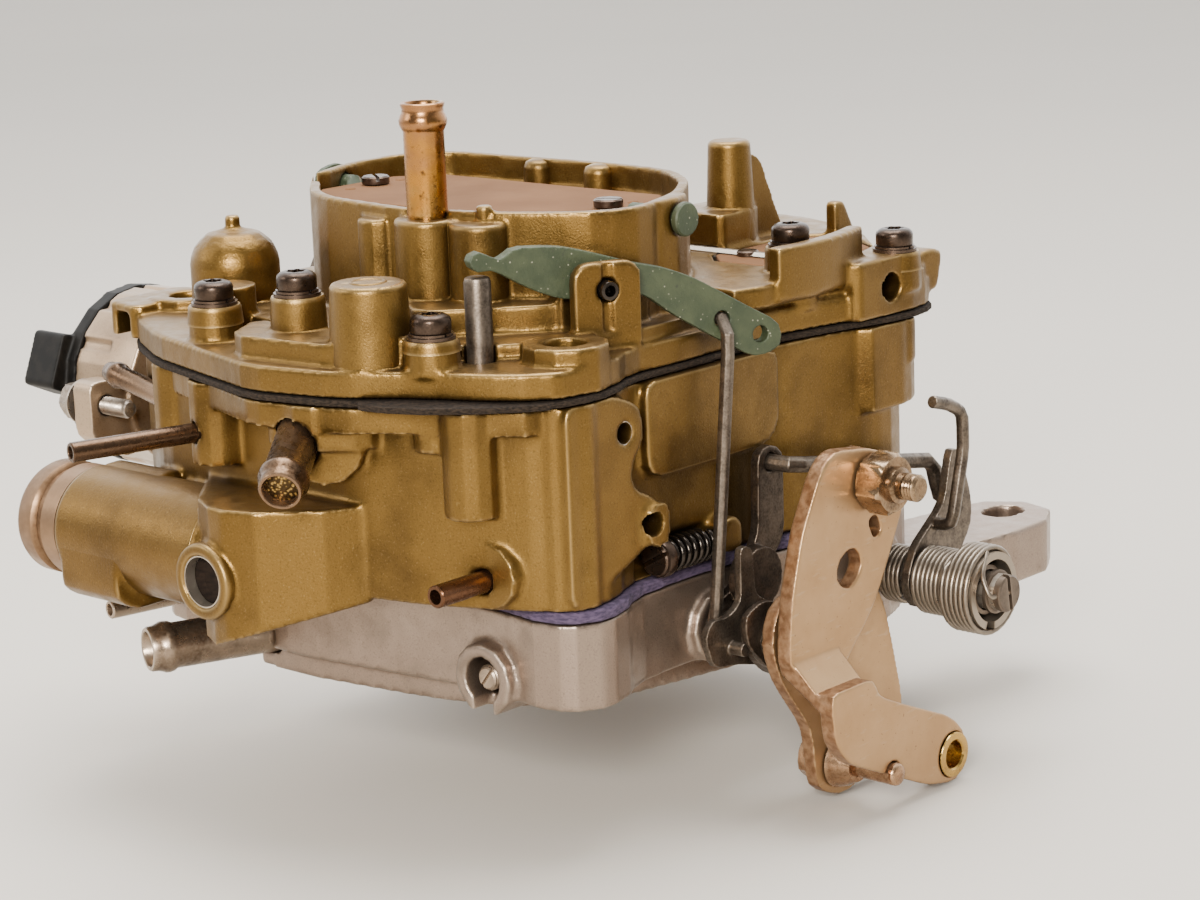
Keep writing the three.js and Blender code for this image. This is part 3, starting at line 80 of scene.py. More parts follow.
class Look:
    """A principled material whose colour, roughness and bump come from noise in object space."""

    def __init__(self, name, metallic, roughness):
        self.material = bpy.data.materials.new(name)
        self.material.use_nodes = True
        self.tree = self.material.node_tree
        self.shader = self.tree.nodes["Principled BSDF"]
        self.shader.inputs["Metallic"].default_value = metallic
        self.shader.inputs["Roughness"].default_value = roughness
        self.coords = self.tree.nodes.new("ShaderNodeTexCoord")
        self.geometry = self.tree.nodes.new("ShaderNodeNewGeometry")
        self.normal = None

    def link(self, start, end):
        self.tree.links.new(start, end)

    def noise(self, scale, detail=4.0, stretch=None):
        node = self.tree.nodes.new("ShaderNodeTexNoise")
        node.inputs["Scale"].default_value = scale
        node.inputs["Detail"].default_value = detail
        place = self.coords.outputs["Object"]
        if stretch:
            mapping = self.tree.nodes.new("ShaderNodeMapping")
            mapping.inputs["Scale"].default_value = stretch
            self.link(place, mapping.inputs["Vector"])
            place = mapping.outputs["Vector"]
        self.link(place, node.inputs["Vector"])
        return node.outputs["Fac"]

    def spots(self, scale):
        node = self.tree.nodes.new("ShaderNodeTexVoronoi")
        node.inputs["Scale"].default_value = scale
        self.link(self.coords.outputs["Object"], node.inputs["Vector"])
        return node.outputs["Distance"]

    def range(self, value, low, high, to_low=0.0, to_high=1.0):
        node = self.tree.nodes.new("ShaderNodeMapRange")
        node.inputs["From Min"].default_value = low
        node.inputs["From Max"].default_value = high
        node.inputs["To Min"].default_value = to_low
        node.inputs["To Max"].default_value = to_high
        self.link(value, node.inputs["Value"])
        return node.outputs["Result"]

    def axis(self, source, index):
        node = self.tree.nodes.new("ShaderNodeSeparateXYZ")
        self.link(self.coords.outputs[source], node.inputs["Vector"])
        return node.outputs[index]

    def math(self, operation, a, b=None):
        node = self.tree.nodes.new("ShaderNodeMath")
        node.operation = operation
        self.link(a, node.inputs[0])
        if b is not None:
            if isinstance(b, (int, float)):
                node.inputs[1].default_value = b
            else:
                self.link(b, node.inputs[1])
        return node.outputs[0]

    def mix(self, factor, a, b):
        node = self.tree.nodes.new("ShaderNodeMix")
        node.data_type = "RGBA"
        self.link(factor, node.inputs["Factor"])
        colour_sockets = [socket for socket in node.inputs if socket.type == "RGBA"]
        for value, socket in zip((a, b), colour_sockets):
            if isinstance(value, tuple):
                socket.default_value = (*toned(value), 1.0)
            else:
                self.link(value, socket)
        return next(socket for socket in node.outputs if socket.type == "RGBA")

    def edges(self, low, high):
        return self.range(self.geometry.outputs["Pointiness"], low, high)

    def corner_shade(self, distance):
        """Rises from 0 on open faces to 1 deep in a corner, for painting shade into corners."""
        node = self.tree.nodes.new("ShaderNodeAmbientOcclusion")
        node.samples = 4
        node.inputs["Distance"].default_value = distance * MM
        return self.range(node.outputs["AO"], 0.75, 0.2)

    def bump(self, height, strength, distance):
        node = self.tree.nodes.new("ShaderNodeBump")
        node.inputs["Strength"].default_value = strength
        node.inputs["Distance"].default_value = distance * MM
        self.link(height, node.inputs["Height"])
        if self.normal is not None:
            self.link(self.normal, node.inputs["Normal"])
        self.normal = node.outputs["Normal"]

    def done(self, colour, roughness=None):
        self.link(colour, self.shader.inputs["Base Color"])
        if roughness is not None:
            self.link(roughness, self.shader.inputs["Roughness"])
        if self.normal is not None:
            self.link(self.normal, self.shader.inputs["Normal"])
        return self.material


def casting(name, dark, main, light, edge, top, metallic=0.85):
    """Die-cast metal: calm colour, fine sparkling grain, painted shade in corners, rubbed edges with painted
    highlight.
    """
    look = Look(name, metallic, 0.4)
    broad = look.range(look.noise(16, 3), 0.36, 0.64)
    colour = look.mix(broad, main, light)
    stain = look.range(look.noise(60, 6), 0.52, 0.72)
    colour = look.mix(look.math("MULTIPLY", stain, 0.45), colour, dark)
    grain = look.noise(2600, 4)
    colour = look.mix(look.range(grain, 0.45, 0.3, 0.0, 0.3), colour, dark)
    colour = look.mix(look.range(grain, 0.6, 0.75, 0.0, 0.22), colour, edge)
    # Up-facing faces turn lighter and pinker: the machined tint of top faces, and painted light from above.
    up_facing_tint_and_light = look.range(look.axis("Normal", 2), 0.85, 1.0)
    colour = look.mix(look.math("MULTIPLY", up_facing_tint_and_light, 0.5), colour, top)
    # Edges are painted lighter: rubbed wear and a painted highlight.
    colour = look.mix(look.edges(0.525, 0.6), colour, edge)
    # Painted shade: corners are darkened towards the dark colour.
    colour = look.mix(look.math("MULTIPLY", look.corner_shade(7), 0.8), colour, dark)
    look.bump(look.noise(240, 4), 0.12, 0.5)
    look.bump(grain, 0.35, 0.16)
    roughness = look.range(look.noise(300, 4), 0.3, 0.7, 0.28, 0.46)
    return look.done(colour, roughness)


def steel(name, dark, main, light, roughness, metallic=0.9, scale=350):
    """Plain or plated steel with stains and fine scratches."""
    look = Look(name, metallic, roughness)
    stains = look.range(look.noise(scale, 6), 0.36, 0.64)
    fine = look.range(look.noise(scale * 6, 4), 0.3, 0.7)
    colour = look.mix(stains, main, dark)
    colour = look.mix(look.math("MULTIPLY", fine, 0.4), colour, light)
    # Edges are painted lighter: wear on the edges and a painted highlight.
    colour = look.mix(look.edges(0.52, 0.6), colour, light)
    look.bump(look.noise(scale * 5, 4), 0.12, 0.2)
    rough = look.range(look.noise(scale * 2, 4), 0.3, 0.7, roughness - 0.08, roughness + 0.12)
    return look.done(colour, rough)


def lever_steel():
    """Yellow zinc plate, with bare coppery sheared edges round the outline."""
    look = Look("yellow_zinc_plate", 0.75, 0.4)
    cloud = look.range(look.noise(90, 5), 0.35, 0.65)
    colour = look.mix(cloud, (0.60, 0.385, 0.20), (0.67, 0.45, 0.25))
    scratch = look.range(look.noise(900, 3, (1.0, 0.2, 1.0)), 0.62, 0.78)
    colour = look.mix(look.math("MULTIPLY", scratch, 0.5), colour, (0.75, 0.62, 0.46))
    flat = look.math("ABSOLUTE", look.axis("Normal", 0))
    side = look.range(flat, 0.6, 0.3, 0.0, 0.85)
    tear = look.mix(look.range(look.noise(700, 5), 0.35, 0.65), (0.26, 0.125, 0.065), (0.60, 0.38, 0.24))
    colour = look.mix(side, colour, tear)
    # Painted shade: corners are darkened brown-black.
    colour = look.mix(look.math("MULTIPLY", look.corner_shade(5), 0.7), colour, (0.14, 0.07, 0.03))
    spots = look.range(look.noise(1400, 2), 0.68, 0.76)
    colour = look.mix(look.math("MULTIPLY", spots, 0.6), colour, (0.16, 0.09, 0.05))
    look.bump(look.noise(1500, 4), 0.12, 0.15)
    return look.done(colour, look.range(look.noise(500, 4), 0.3, 0.7, 0.3, 0.46))


def green_coating():
    look = Look("green_speckled_coating", 0.15, 0.55)
    colour = look.mix(look.range(look.noise(260, 5), 0.35, 0.65), (0.045, 0.07, 0.035), (0.075, 0.105, 0.055))
    flecks = look.range(look.spots(900), 0.2, 0.1)
    sparse = look.range(look.noise(500, 3), 0.5, 0.6)
    colour = look.mix(look.math("MULTIPLY", flecks, sparse), colour, (0.42, 0.46, 0.38))
    pits = look.range(look.noise(1100, 3), 0.66, 0.74)
    colour = look.mix(pits, colour, (0.04, 0.05, 0.035))
    colour = look.mix(look.edges(0.55, 0.65), colour, (0.20, 0.17, 0.12))
    look.bump(look.noise(1300, 4), 0.4, 0.25)
    return look.done(colour)


def fibre(name, dark, light, scale=1200):
    """Pressed gasket sheet: matt, fibrous and slightly torn at the edge."""
    look = Look(name, 0.0, 0.9)
    fibres = look.noise(scale, 6, (1.0, 1.0, 3.0))
    colour = look.mix(look.range(fibres, 0.35, 0.65), dark, light)
    look.bump(fibres, 0.6, 0.3)
    return look.done(colour)


def plastic(name, dark, light, roughness):
    look = Look(name, 0.0, roughness)
    colour = look.mix(look.range(look.noise(400, 5), 0.4, 0.6), dark, light)
    colour = look.mix(look.edges(0.55, 0.65), colour, (0.10, 0.09, 0.075))
    look.bump(look.noise(2500, 3), 0.15, 0.1)
    return look.done(colour)


def vent_brass():
    """Plated tube with heat colours that run from gold at the foot to copper near the mouth."""
    look = Look("iridescent_brass", 1.0, 0.24)
    low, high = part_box("vent_tube")
    height = look.range(look.axis("Object", 2), low[2], high[2])
    wander = look.math("ADD", height, look.range(look.noise(220, 4), 0.3, 0.7, -0.16, 0.16))
    colour = look.mix(look.range(wander, 0.05, 0.4), (0.50, 0.36, 0.15), (0.66, 0.33, 0.07))
    colour = look.mix(look.range(wander, 0.55, 0.85), colour, (0.50, 0.26, 0.12))
    colour = look.mix(look.range(look.noise(90, 3), 0.52, 0.66, 0.0, 0.6), colour, (0.36, 0.36, 0.17))
    colour = look.mix(look.range(look.noise(700, 4), 0.6, 0.75), colour, (0.16, 0.08, 0.03))
    look.bump(look.noise(1600, 3), 0.06, 0.1)
    return look.done(colour, look.range(look.noise(500, 4), 0.3, 0.7, 0.18, 0.36))


def gauze():
    look = Look("brass_gauze", 0.9, 0.4)
    weave = look.spots(1500)
    colour = look.mix(look.range(weave, 0.25, 0.5), (0.62, 0.42, 0.14), (0.08, 0.05, 0.02))
    look.bump(weave, 0.8, 0.3)
    return look.done(colour)


# Each casting's first colour also paints shade into corners; its last two are rubbed edges with a painted
# highlight, and up-facing faces with a machined tint and painted light from above.
GOLD = casting("gold_chromate_casting", (0.035, 0.016, 0.003), (0.235, 0.138, 0.032), (0.28, 0.175, 0.048),
               (0.72, 0.54, 0.26), (0.35, 0.235, 0.112))
GREY = casting("grey_casting", (0.10, 0.075, 0.06), (0.42, 0.335, 0.29), (0.47, 0.39, 0.345),
               (0.78, 0.70, 0.63), (0.46, 0.36, 0.30))
HOUSING = casting("choke_housing_aluminium", (0.16, 0.10, 0.06), (0.60, 0.44, 0.30), (0.72, 0.57, 0.43),
                  (0.85, 0.78, 0.70), (0.5, 0.42, 0.36))
ROD = steel("brown_rod_steel", (0.06, 0.048, 0.04), (0.20, 0.17, 0.145), (0.42, 0.37, 0.33), 0.38)
LINK = steel("dark_link_steel", (0.035, 0.027, 0.022), (0.12, 0.095, 0.08), (0.30, 0.25, 0.215), 0.4)
DARK = steel("dark_screw_steel", (0.01, 0.006, 0.005), (0.035, 0.023, 0.018), (0.15, 0.11, 0.09), 0.3)
BRIGHT = steel("machined_steel", (0.26, 0.22, 0.19), (0.48, 0.43, 0.39), (0.70, 0.66, 0.62), 0.32)
ZINC = steel("stained_zinc_steel", (0.12, 0.08, 0.055), (0.42, 0.33, 0.26), (0.64, 0.55, 0.47), 0.3,
             scale=240)
INLET = steel("tinted_inlet_steel", (0.14, 0.08, 0.045), (0.33, 0.205, 0.12), (0.46, 0.31, 0.2), 0.42,
              scale=160)
NUT = steel("bronze_tinted_nut", (0.10, 0.06, 0.035), (0.34, 0.22, 0.13), (0.66, 0.50, 0.34), 0.2)
COPPER_NUT = steel("copper_tinted_nut", (0.24, 0.12, 0.06), (0.58, 0.35, 0.21), (0.80, 0.58, 0.40), 0.24)
SPRING = steel("torsion_spring_steel", (0.10, 0.08, 0.065), (0.27, 0.235, 0.205), (0.50, 0.45, 0.40), 0.34)
BLACK_SPRING = steel("black_spring_steel", (0.006, 0.006, 0.006), (0.018, 0.016, 0.015), (0.09, 0.08, 0.075),
                     0.16)
BRASS = steel("clean_brass", (0.44, 0.24, 0.05), (0.74, 0.46, 0.11), (0.88, 0.66, 0.26), 0.22, 1.0, 500)
COPPER = steel("dull_copper", (0.01, 0.005, 0.003), (0.04, 0.018, 0.009), (0.20, 0.10, 0.055), 0.24)
TUBE = steel("brown_tube_steel", (0.04, 0.022, 0.012), (0.13, 0.075, 0.042), (0.40, 0.27, 0.18), 0.26)
THIN = steel("dark_tube_steel", (0.01, 0.005, 0.003), (0.035, 0.019, 0.01), (0.16, 0.10, 0.065), 0.26)
PLATE = fibre("bronze_plate", (0.205, 0.10, 0.043), (0.25, 0.128, 0.06), 90)
# Painted shade: near-black discs set inside tubes and holes stand in for the shade in their bores.
BORE_SHADE = steel("painted_bore_shade", (0.004, 0.003, 0.002), (0.015, 0.01, 0.008), (0.04, 0.03, 0.02), 0.6, 0.3)
LEVER = lever_steel()
GREEN = green_coating()
GASKET = fibre("black_gasket", (0.010, 0.007, 0.005), (0.046, 0.033, 0.024))
INSULATOR = fibre("purple_insulator", (0.045, 0.03, 0.085), (0.13, 0.095, 0.2), 700)
BLACK = plastic("black_moulding", (0.004, 0.0035, 0.003), (0.010, 0.009, 0.008), 0.55)
PLUG = fibre("brown_plug", (0.010, 0.006, 0.004), (0.026, 0.016, 0.011), 400)
FOAM = plastic("float_foam", (0.03, 0.026, 0.024), (0.07, 0.06, 0.055), 0.9)
VENT = vent_brass()
GAUZE = gauze()
for dull in (PLATE, BLACK, PLUG, GASKET):
    dull.node_tree.nodes["Principled BSDF"].inputs["Specular IOR Level"].default_value = 0.2

# ---------------------------------------------------------------- making pieces

# Below these angles in degrees, two faces shade as one smooth surface.
ROUNDED_SHARP = 50
WIRE_SHARP = 60
WIRE_END = 0.8


def piece(name, mesh, material, node, sharp=38):
    """Adds a mesh that rides with a CAD node's body, in the material given."""
    mesh.polygons.foreach_set("use_smooth", [True] * len(mesh.polygons))
    mesh.set_sharp_from_angle(angle=math.radians(sharp))
    mesh.materials.clear()
    mesh.materials.append(material)
    obj = bpy.data.objects.new(name, mesh)
    bpy.context.scene.collection.objects.link(obj)
    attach(obj, BODY_OF[node])
    return obj


def modified(node, *modifiers):
    """A copy of a CAD node's mesh with modifiers applied."""
    temporary = bpy.data.objects.new("temporary", frame["nodes"][node].data.copy())
    bpy.context.scene.collection.objects.link(temporary)
    for kind, settings in modifiers:
        modifier = temporary.modifiers.new(kind, kind)
        for key, value in settings.items():
            setattr(modifier, key, value)
    evaluated = temporary.evaluated_get(bpy.context.evaluated_depsgraph_get())
    mesh = bpy.data.meshes.new_from_object(evaluated)
    bpy.data.objects.remove(temporary)
    return mesh


def rounded(node, material, voxel, passes):
    """Stands for a CAD node with its corners rounded off, as casting or stamping leaves them."""
    mesh = modified(
        node,
        ("REMESH", {"mode": "VOXEL", "voxel_size": voxel * MM}),
        ("SMOOTH", {"factor": 0.5, "iterations": passes}),
    )
    obj = piece(node + "_surface", mesh, material, node, ROUNDED_SHARP)
    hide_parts(node)
    return obj


def basis(direction):
    """A turn that takes +Z to the direction."""
    return Vector((0, 0, 1)).rotation_difference(Vector(direction)).to_matrix().to_4x4()


def lathe(name, at, direction, profile, material, node, sides=48, sharp=38, turn=0.0):
    """Turns [radius, distance, form, cap] points about a line.

    Form "hex" reads the radius as half the width across flats, and the cap rounds its corners off.
    Form "star" waves the radius into a star socket.
    """
    vertices = []
    place = Matrix.Translation(mm(at)) @ basis(direction)
    for point in profile:
        radius, distance = point[0], point[1]
        form = point[2] if len(point) > 2 else None
        for i in range(sides):
            angle = 2 * math.pi * i / sides
            r = radius
            if form == "hex":
                r = radius / math.cos((angle + math.pi / 6) % (math.pi / 3) - math.pi / 6)
                if len(point) > 3:
                    r = min(r, point[3])
            if form == "star":
                r = radius * (1 + 0.16 * math.cos(6 * angle))
            spin = angle + turn
            vertices.append(place @ (Vector((r * math.cos(spin), r * math.sin(spin), distance)) * MM))
    faces = []
    for ring in range(len(profile) - 1):
        for i in range(sides):
            j = (i + 1) % sides
            a, b = ring * sides, (ring + 1) * sides
            faces.append((a + i, a + j, b + j, b + i))
    if profile[0] != profile[-1]:
        faces.append(tuple(reversed(range(sides))))
        faces.append(tuple(range((len(profile) - 1) * sides, len(profile) * sides)))
    mesh = bpy.data.meshes.new(name)
    mesh.from_pydata(vertices, [], faces)
    mesh.update()
    return piece(name, mesh, material, node, sharp)


def tube(name, points, radius, material, node, sides):
    """A round wire through the points, with one frame carried along it and its ends a little narrower."""
    path = [mm(p) for p in points]
    last = len(path) - 1
    tangents = [(path[min(i + 1, last)] - path[max(i - 1, 0)]).normalized() for i in range(len(path))]
    across = tangents[0].orthogonal().normalized()
    vertices = []
    for i, (point, tangent) in enumerate(zip(path, tangents)):
        across = (across - tangent * across.dot(tangent)).normalized()
        up = tangent.cross(across)
        r = radius * MM * (WIRE_END if i in (0, last) else 1.0)
        for k in range(sides):
            angle = 2 * math.pi * k / sides
            vertices.append(point + (across * math.cos(angle) + up * math.sin(angle)) * r)
    faces = []
    for i in range(last):
        for k in range(sides):
            j = (k + 1) % sides
            a, b = i * sides, (i + 1) * sides
            faces.append((a + k, a + j, b + j, b + k))
    faces.append(tuple(reversed(range(sides))))
    faces.append(tuple(range(last * sides, len(path) * sides)))
    mesh = bpy.data.meshes.new(name)
    mesh.from_pydata(vertices, [], faces)
    mesh.update()
    return piece(name, mesh, material, node, WIRE_SHARP)


def bent(points, radius, steps=6):
    """The points of a polyline with each corner turned into an arc."""
    knots = [Vector(p) for p in points]
    path = [knots[0]]
    for before, knot, after in zip(knots, knots[1:], knots[2:]):
        start = knot + (before - knot).normalized() * radius
        end = knot + (after - knot).normalized() * radius
        for i in range(steps + 1):
            t = i / steps
            path.append(start * (1 - t) ** 2 + knot * 2 * t * (1 - t) + end * t ** 2)
    path.append(knots[-1])
    return path


def helix(x0, x1, y, z, radius, turns, axis="X", start=0.0, per_turn=28):
    """Points along a coil about a line parallel to X or Y."""
    points = []
    count = int(turns * per_turn)
    for i in range(count + 1):
        t = i / count
        angle = start + 2 * math.pi * turns * t
        along = x0 + (x1 - x0) * t
        if axis == "X":
            points.append((along, y + radius * math.cos(angle), z + radius * math.sin(angle)))
        else:
            points.append((y + radius * math.cos(angle), along, z + radius * math.sin(angle)))
    return points


def paint(node, material):
    """Gives a CAD node that stays as it is a new material."""
    obj = frame["nodes"][node]
    obj.data.materials.clear()
    obj.data.materials.append(material)


def ring(name, at, direction, inner, outer, low, high, material, node, gap=0.0, sides=48):
    """A washer, split where a spring washer is cut. The gap is in segments."""
    place = Matrix.Translation(mm(at)) @ basis(direction)
    section = [(inner, low), (outer, low), (outer, high), (inner, high)]
    count = sides - int(gap)
    closed = gap == 0
    vertices, faces = [], []
    for i in range(count if closed else count + 1):
        angle = 2 * math.pi * i / sides
        for r, z in section:
            vertices.append(place @ (Vector((r * math.cos(angle), r * math.sin(angle), z)) * MM))
    rows = len(vertices) // 4
    for i in range(count):
        j = (i + 1) % rows
        for k in range(4):
            m = (k + 1) % 4
            faces.append((4 * i + k, 4 * j + k, 4 * j + m, 4 * i + m))
    if not closed:
        faces.append((3, 2, 1, 0))
        faces.append(tuple(4 * (rows - 1) + k for k in range(4)))
    mesh = bpy.data.meshes.new(name)
    mesh.from_pydata(vertices, [], faces)
    mesh.update()
    return piece(name, mesh, material, node)


def half_moons(name, at, direction, radius, low, high, slot, material, node, turn=0.0, sides=20):
    """The two raised halves of a slotted screw head."""
    place = Matrix.Translation(mm(at)) @ basis(direction) @ Matrix.Rotation(turn, 4, "Z")
    vertices, faces = [], []
    start = math.asin(slot / 2 / radius)
    for side in (1, -1):
        first = len(vertices)
        for z, r in ((low, radius), (high - 0.3, radius), (high, radius - 0.35)):
            for i in range(sides + 1):
                angle = start + (math.pi - 2 * start) * i / sides
                y = max(r * math.sin(angle), slot / 2)
                vertices.append(place @ (Vector((r * math.cos(angle), y, z)) * MM if side > 0 else
                                         Vector((-r * math.cos(angle), -y, z)) * MM))
        row = sides + 1
        for level in range(2):
            a0, b0 = first + level * row, first + (level + 1) * row
            for i in range(row):
                j = (i + 1) % row
                faces.append((a0 + i, a0 + j, b0 + j, b0 + i))
        faces.append(tuple(first + 2 * row + i for i in range(row)))
        faces.append(tuple(first + i for i in reversed(range(row))))
    mesh = bpy.data.meshes.new(name)
    mesh.from_pydata(vertices, [], faces)
    mesh.update()
    return piece(name, mesh, material, node)


def thread(radius, start, end, pitch=0.8, depth=0.35):
    """Profile points of a thread's crests and roots."""
    count = max(1, int((end - start) / pitch))
    step = (end - start) / count
    points = []
    for i in range(count):
        points.append([radius - depth, start + i * step])
        points.append([radius, start + (i + 0.5) * step])
    points.append([radius - depth, end])
    return points


# ---------------------------------------------------------------- castings, gaskets and stampings

for node, material, voxel, passes in (
    ("air_horn", GOLD, 0.55, 3),
    ("float_bowl", GOLD, 0.6, 3),
    ("throttle_body", GREY, 0.6, 3),
    ("choke_housing", HOUSING, 0.45, 3),
    ("throttle_lever_outer", LEVER, 0.34, 2),
    ("throttle_lever_inner", LEVER, 0.34, 2),
    ("throttle_cam", LINK, 0.26, 2),
    ("pump_throttle_lever", ROD, 0.2, 2),
    ("pump_lever", GREEN, 0.26, 3),
    ("secondary_actuator", LINK, 0.26, 2),
    ("secondary_lever", ROD, 0.24, 3),
    ("choke_coil_lever", ZINC, 0.26, 2),
    ("choke_cover", BLACK, 0.4, 2),
    ("choke_plate", PLATE, 0.35, 2),
    ("air_valve_plate_right", PLATE, 0.35, 2),
    ("air_valve_plate_left", PLATE, 0.35, 2),
    ("air_horn_gasket", GASKET, 0.38, 2),
    ("insulator_gasket", INSULATOR, 0.5, 2),
    ("link_rod", ROD, 0.22, 3),
    ("pump_rod", ROD, 0.2, 3),
    ("choke_rod", ROD, 0.2, 3),
    ("float", FOAM, 0.6, 3),
):
    rounded(node, material, voxel, passes)

for node, material in (
    ("needle_seat", BRASS), ("float_needle", BRASS), ("float_hinge_pin", BRIGHT),
    ("primary_shaft", BRIGHT), ("primary_plate_right", BRASS), ("primary_plate_left", BRASS),
    ("secondary_shaft", BRIGHT), ("secondary_plate_right", BRASS), ("secondary_plate_left", BRASS),
    ("air_valve_shaft", BRIGHT),
):
    paint(node, material)

# ---------------------------------------------------------------- turned bosses of the castings


CAST_STEP = 0.6
CAST_SHARP = 60


def cast_lathe(name, at, direction, profile, node="air_horn"):
    """A turned surface with points as close as the remeshed castings', so the finish matches theirs."""
    points = [profile[0]]
    for start, end in zip(profile, profile[1:]):
        count = max(1, round(math.dist(start, end) / CAST_STEP))
        for i in range(1, count + 1):
            points.append([a + (b - a) * i / count for a, b in zip(start, end)])
    widest = max(r for r, _ in profile)
    sides = max(24, round(2 * math.pi * widest / CAST_STEP))
    lathe(name, at, direction, points, GOLD, node, sides, CAST_SHARP)


def boss(name, x, y, low, high, foot, top, edge=0.7):
    """A round boss with a true circular outline over the casting's own."""
    cast_lathe(name, (x, y, 0), (0, 0, 1), [
        [foot, low], [top + (foot - top) * 0.1, high - edge], [top - edge * 0.3, high - edge * 0.3],
        [top - edge, high + 0.04], [top * 0.4, high + 0.06], [0.05, high + 0.06],
    ])


boss("capped_boss", 24, -93, 71.5, 87.5, 8.05, 7.25)
cast_lathe("capped_boss_mark", (24, -93, 87.5), (0, 0, 1), [[2.9, 0.0], [3.1, 0.3], [3.5, 0.3], [3.7, 0.0]])
boss("rear_post", 20, 19, 75, 100.5, 5.65, 4.45)
boss("vent_foot", 17, -69.5, 75.5, 96.0, 6.65, 6.65)
boss("bowl_vent_foot", 28, -66.5, 75.5, 95.5, 6.05, 6.05)
boss("small_peg", 29, -66, 95, 98.7, 1.55, 1.5, edge=0.4)
cast_lathe("accelerator_dome", (-39, -71, 74), (0, 0, 1), [
    [9.25, 0.5], [9.25, 8.6], [8.95, 10.2], [8.2, 12.0], [6.9, 13.5], [5.2, 14.6], [3.2, 15.3], [1.9, 15.75],
    [1.55, 16.2], [1.5, 17.8], [1.2, 18.3], [0.05, 18.4],
])
cast_lathe("fuel_barrel", (-53.1, -100, 31), (1, 0, 0), [
    [9.5, 0.35], [11.6, 0.0], [12.1, 0.3], [12.25, 1.0], [12.25, 42.0], [12.1, 42.1],
], "float_bowl")
cast_lathe("port_ring", (-4.9, -106.0, 29.2), (0, -1, 0), [
    [5.35, 0.0], [7.65, 0.0], [7.65, 7.6], [7.4, 8.3], [6.9, 8.52], [5.6, 8.52], [5.35, 8.2], [5.35, 0.0],
], "float_bowl")
for index, x in enumerate((-14.0, 3.5)):
    cast_lathe("tower_rib_%d" % index, (x, -4.6, 0), (0, 0, 1),
               [[3.4, 91.6], [3.3, 95.8], [2.8, 96.8], [1.6, 97.3], [0.05, 97.4]])

# ---------------------------------------------------------------- cover screws

COVER_SCREWS = {
    "front_centre": (3.3, -92.3, 83), "front_left": (-20.5, -93, 79), "front_right": (36.8, -89.6, 77.5),
    "rear_right": (59.2, 25, 79), "side_right": (53.4, -2.4, 83.5),
}
SCREW_FOOT = 58.3


def cover_screw(place, x, y, seat):
    node = "cover_screw_" + place
    at = (x, y, seat)
    up = (0, 0, 1)
    depth = SCREW_FOOT - seat
    head = lathe(node + "_head", at, up, [
        [0.6, depth], [1.6, depth + 0.5], *thread(1.95, depth + 0.6, -1.0), [2.0, -0.9], [2.0, 1.25],
        [3.75, 1.25],
        [3.9, 1.45], [3.9, 3.5], [3.75, 4.0], [3.3, 4.45], [2.6, 4.72], [2.0, 4.8],
        [1.75, 4.75, "star"], [1.7, 2.4, "star"],
    ], DARK, node, turn=x)
    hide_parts(node)
    cast_lathe(node + "_seat", (x, y, 0), up, [
        [5.62, 75.2], [5.3, seat - 0.5], [5.05, seat], [2.3, seat + 0.02],
    ])
    ring(node + "_spring_washer", at, up, 2.1, 4.15, 0.72, 1.2, DARK, node, gap=1)
    ring(node + "_washer", at, up, 2.1, 4.6, 0.02, 0.66, DARK, node)


for place, (x, y, seat) in COVER_SCREWS.items():
    cover_screw(place, x, y, seat)

# Two more screws hold the cover at its rear edge.
for index, (x, y, seat) in enumerate(((-59.2, 25, 75), (0, 38, 75))):
    at = (x, y, seat)
    name = "far_cover_screw_%d" % index
    ring(name + "_washer", at, (0, 0, 1), 2.1, 4.6, 0.02, 0.66, DARK, "air_horn")
    lathe(name, at, (0, 0, 1), [
        [2.0, 0.3], [2.0, 0.7], [3.8, 0.7], [3.9, 0.9], [3.9, 2.9], [3.75, 3.4], [3.3, 3.85], [2.6, 4.1],
        [2.0, 4.2],
        [1.75, 4.15, "star"], [1.7, 1.8, "star"],
    ], DARK, "air_horn")

# ---------------------------------------------------------------- choke plate screws and shaft end

PLATE_MIDDLE = 93.2
CHOKE_SPOTS = ((-35.5, -0.6), (31.5, 0.5))
CHOKE_FLAT = (-41.95, 37.95)


def flattened_choke_shaft():
    """The shaft is ground flat where the plate is screwed down on it."""
    shaft = rounded("choke_shaft", GREEN, 0.24, 2)
    for vertex in shaft.data.vertices:
        if CHOKE_FLAT[0] * MM < vertex.co.x < CHOKE_FLAT[1] * MM:
            vertex.co.z = min(vertex.co.z, PLATE_MIDDLE * MM)


flattened_choke_shaft()
for index, (x, turn) in enumerate(CHOKE_SPOTS):
    at = (x, -33, 93.95)
    up = (0, 0, 1)
    lathe("choke_screw_%d_foot" % index, at, up, [[1.5, -0.4], [2.6, 0.05], [3.0, 0.35], [3.0, 0.95]],
          DARK, "choke_plate")
    half_moons("choke_screw_%d_head" % index, at, up, 3.0, 0.9, 1.9, 0.8, DARK, "choke_plate", turn)
    for side in (-1, 1):
        lathe("choke_plate_rib_%d_%d" % (index, side), (x, -33 + side * 7.5, 93.9), up,
              [[1.2, -0.2], [1.2, 0.1], [0.9, 0.35], [0.2, 0.45]], PLATE, "choke_plate", 24)
lathe("choke_shaft_end", (50.9, -33, 93.2), (1, 0, 0), [
    [2.2, -0.2], [3.3, -0.05], [3.42, 0.2], [3.42, 1.1], [3.15, 1.42], [2.0, 1.49], [0.3, 1.5],
], GREEN, "choke_shaft")
for side in (-1, 1):
    for index, x in enumerate((33.5, 46.5)):
        at = (side * x, 8, 78.25)
        lathe("air_valve_screw_%d_%d" % (side, index), at, (0, 0, 1), [[1.4, -0.3], [2.3, 0.0], [2.3, 0.5]],
              DARK, "air_valve_plate_right")
        half_moons("air_valve_screw_%d_%d_head" % (side, index), at, (0, 0, 1), 2.3, 0.45, 1.2, 0.7,
                   DARK, "air_valve_plate_right", 0.9 * side + index)

# ---------------------------------------------------------------- tubes and fuel inlet


def along(at, direction, distance):
    return Vector(at) + Vector(direction).normalized() * distance


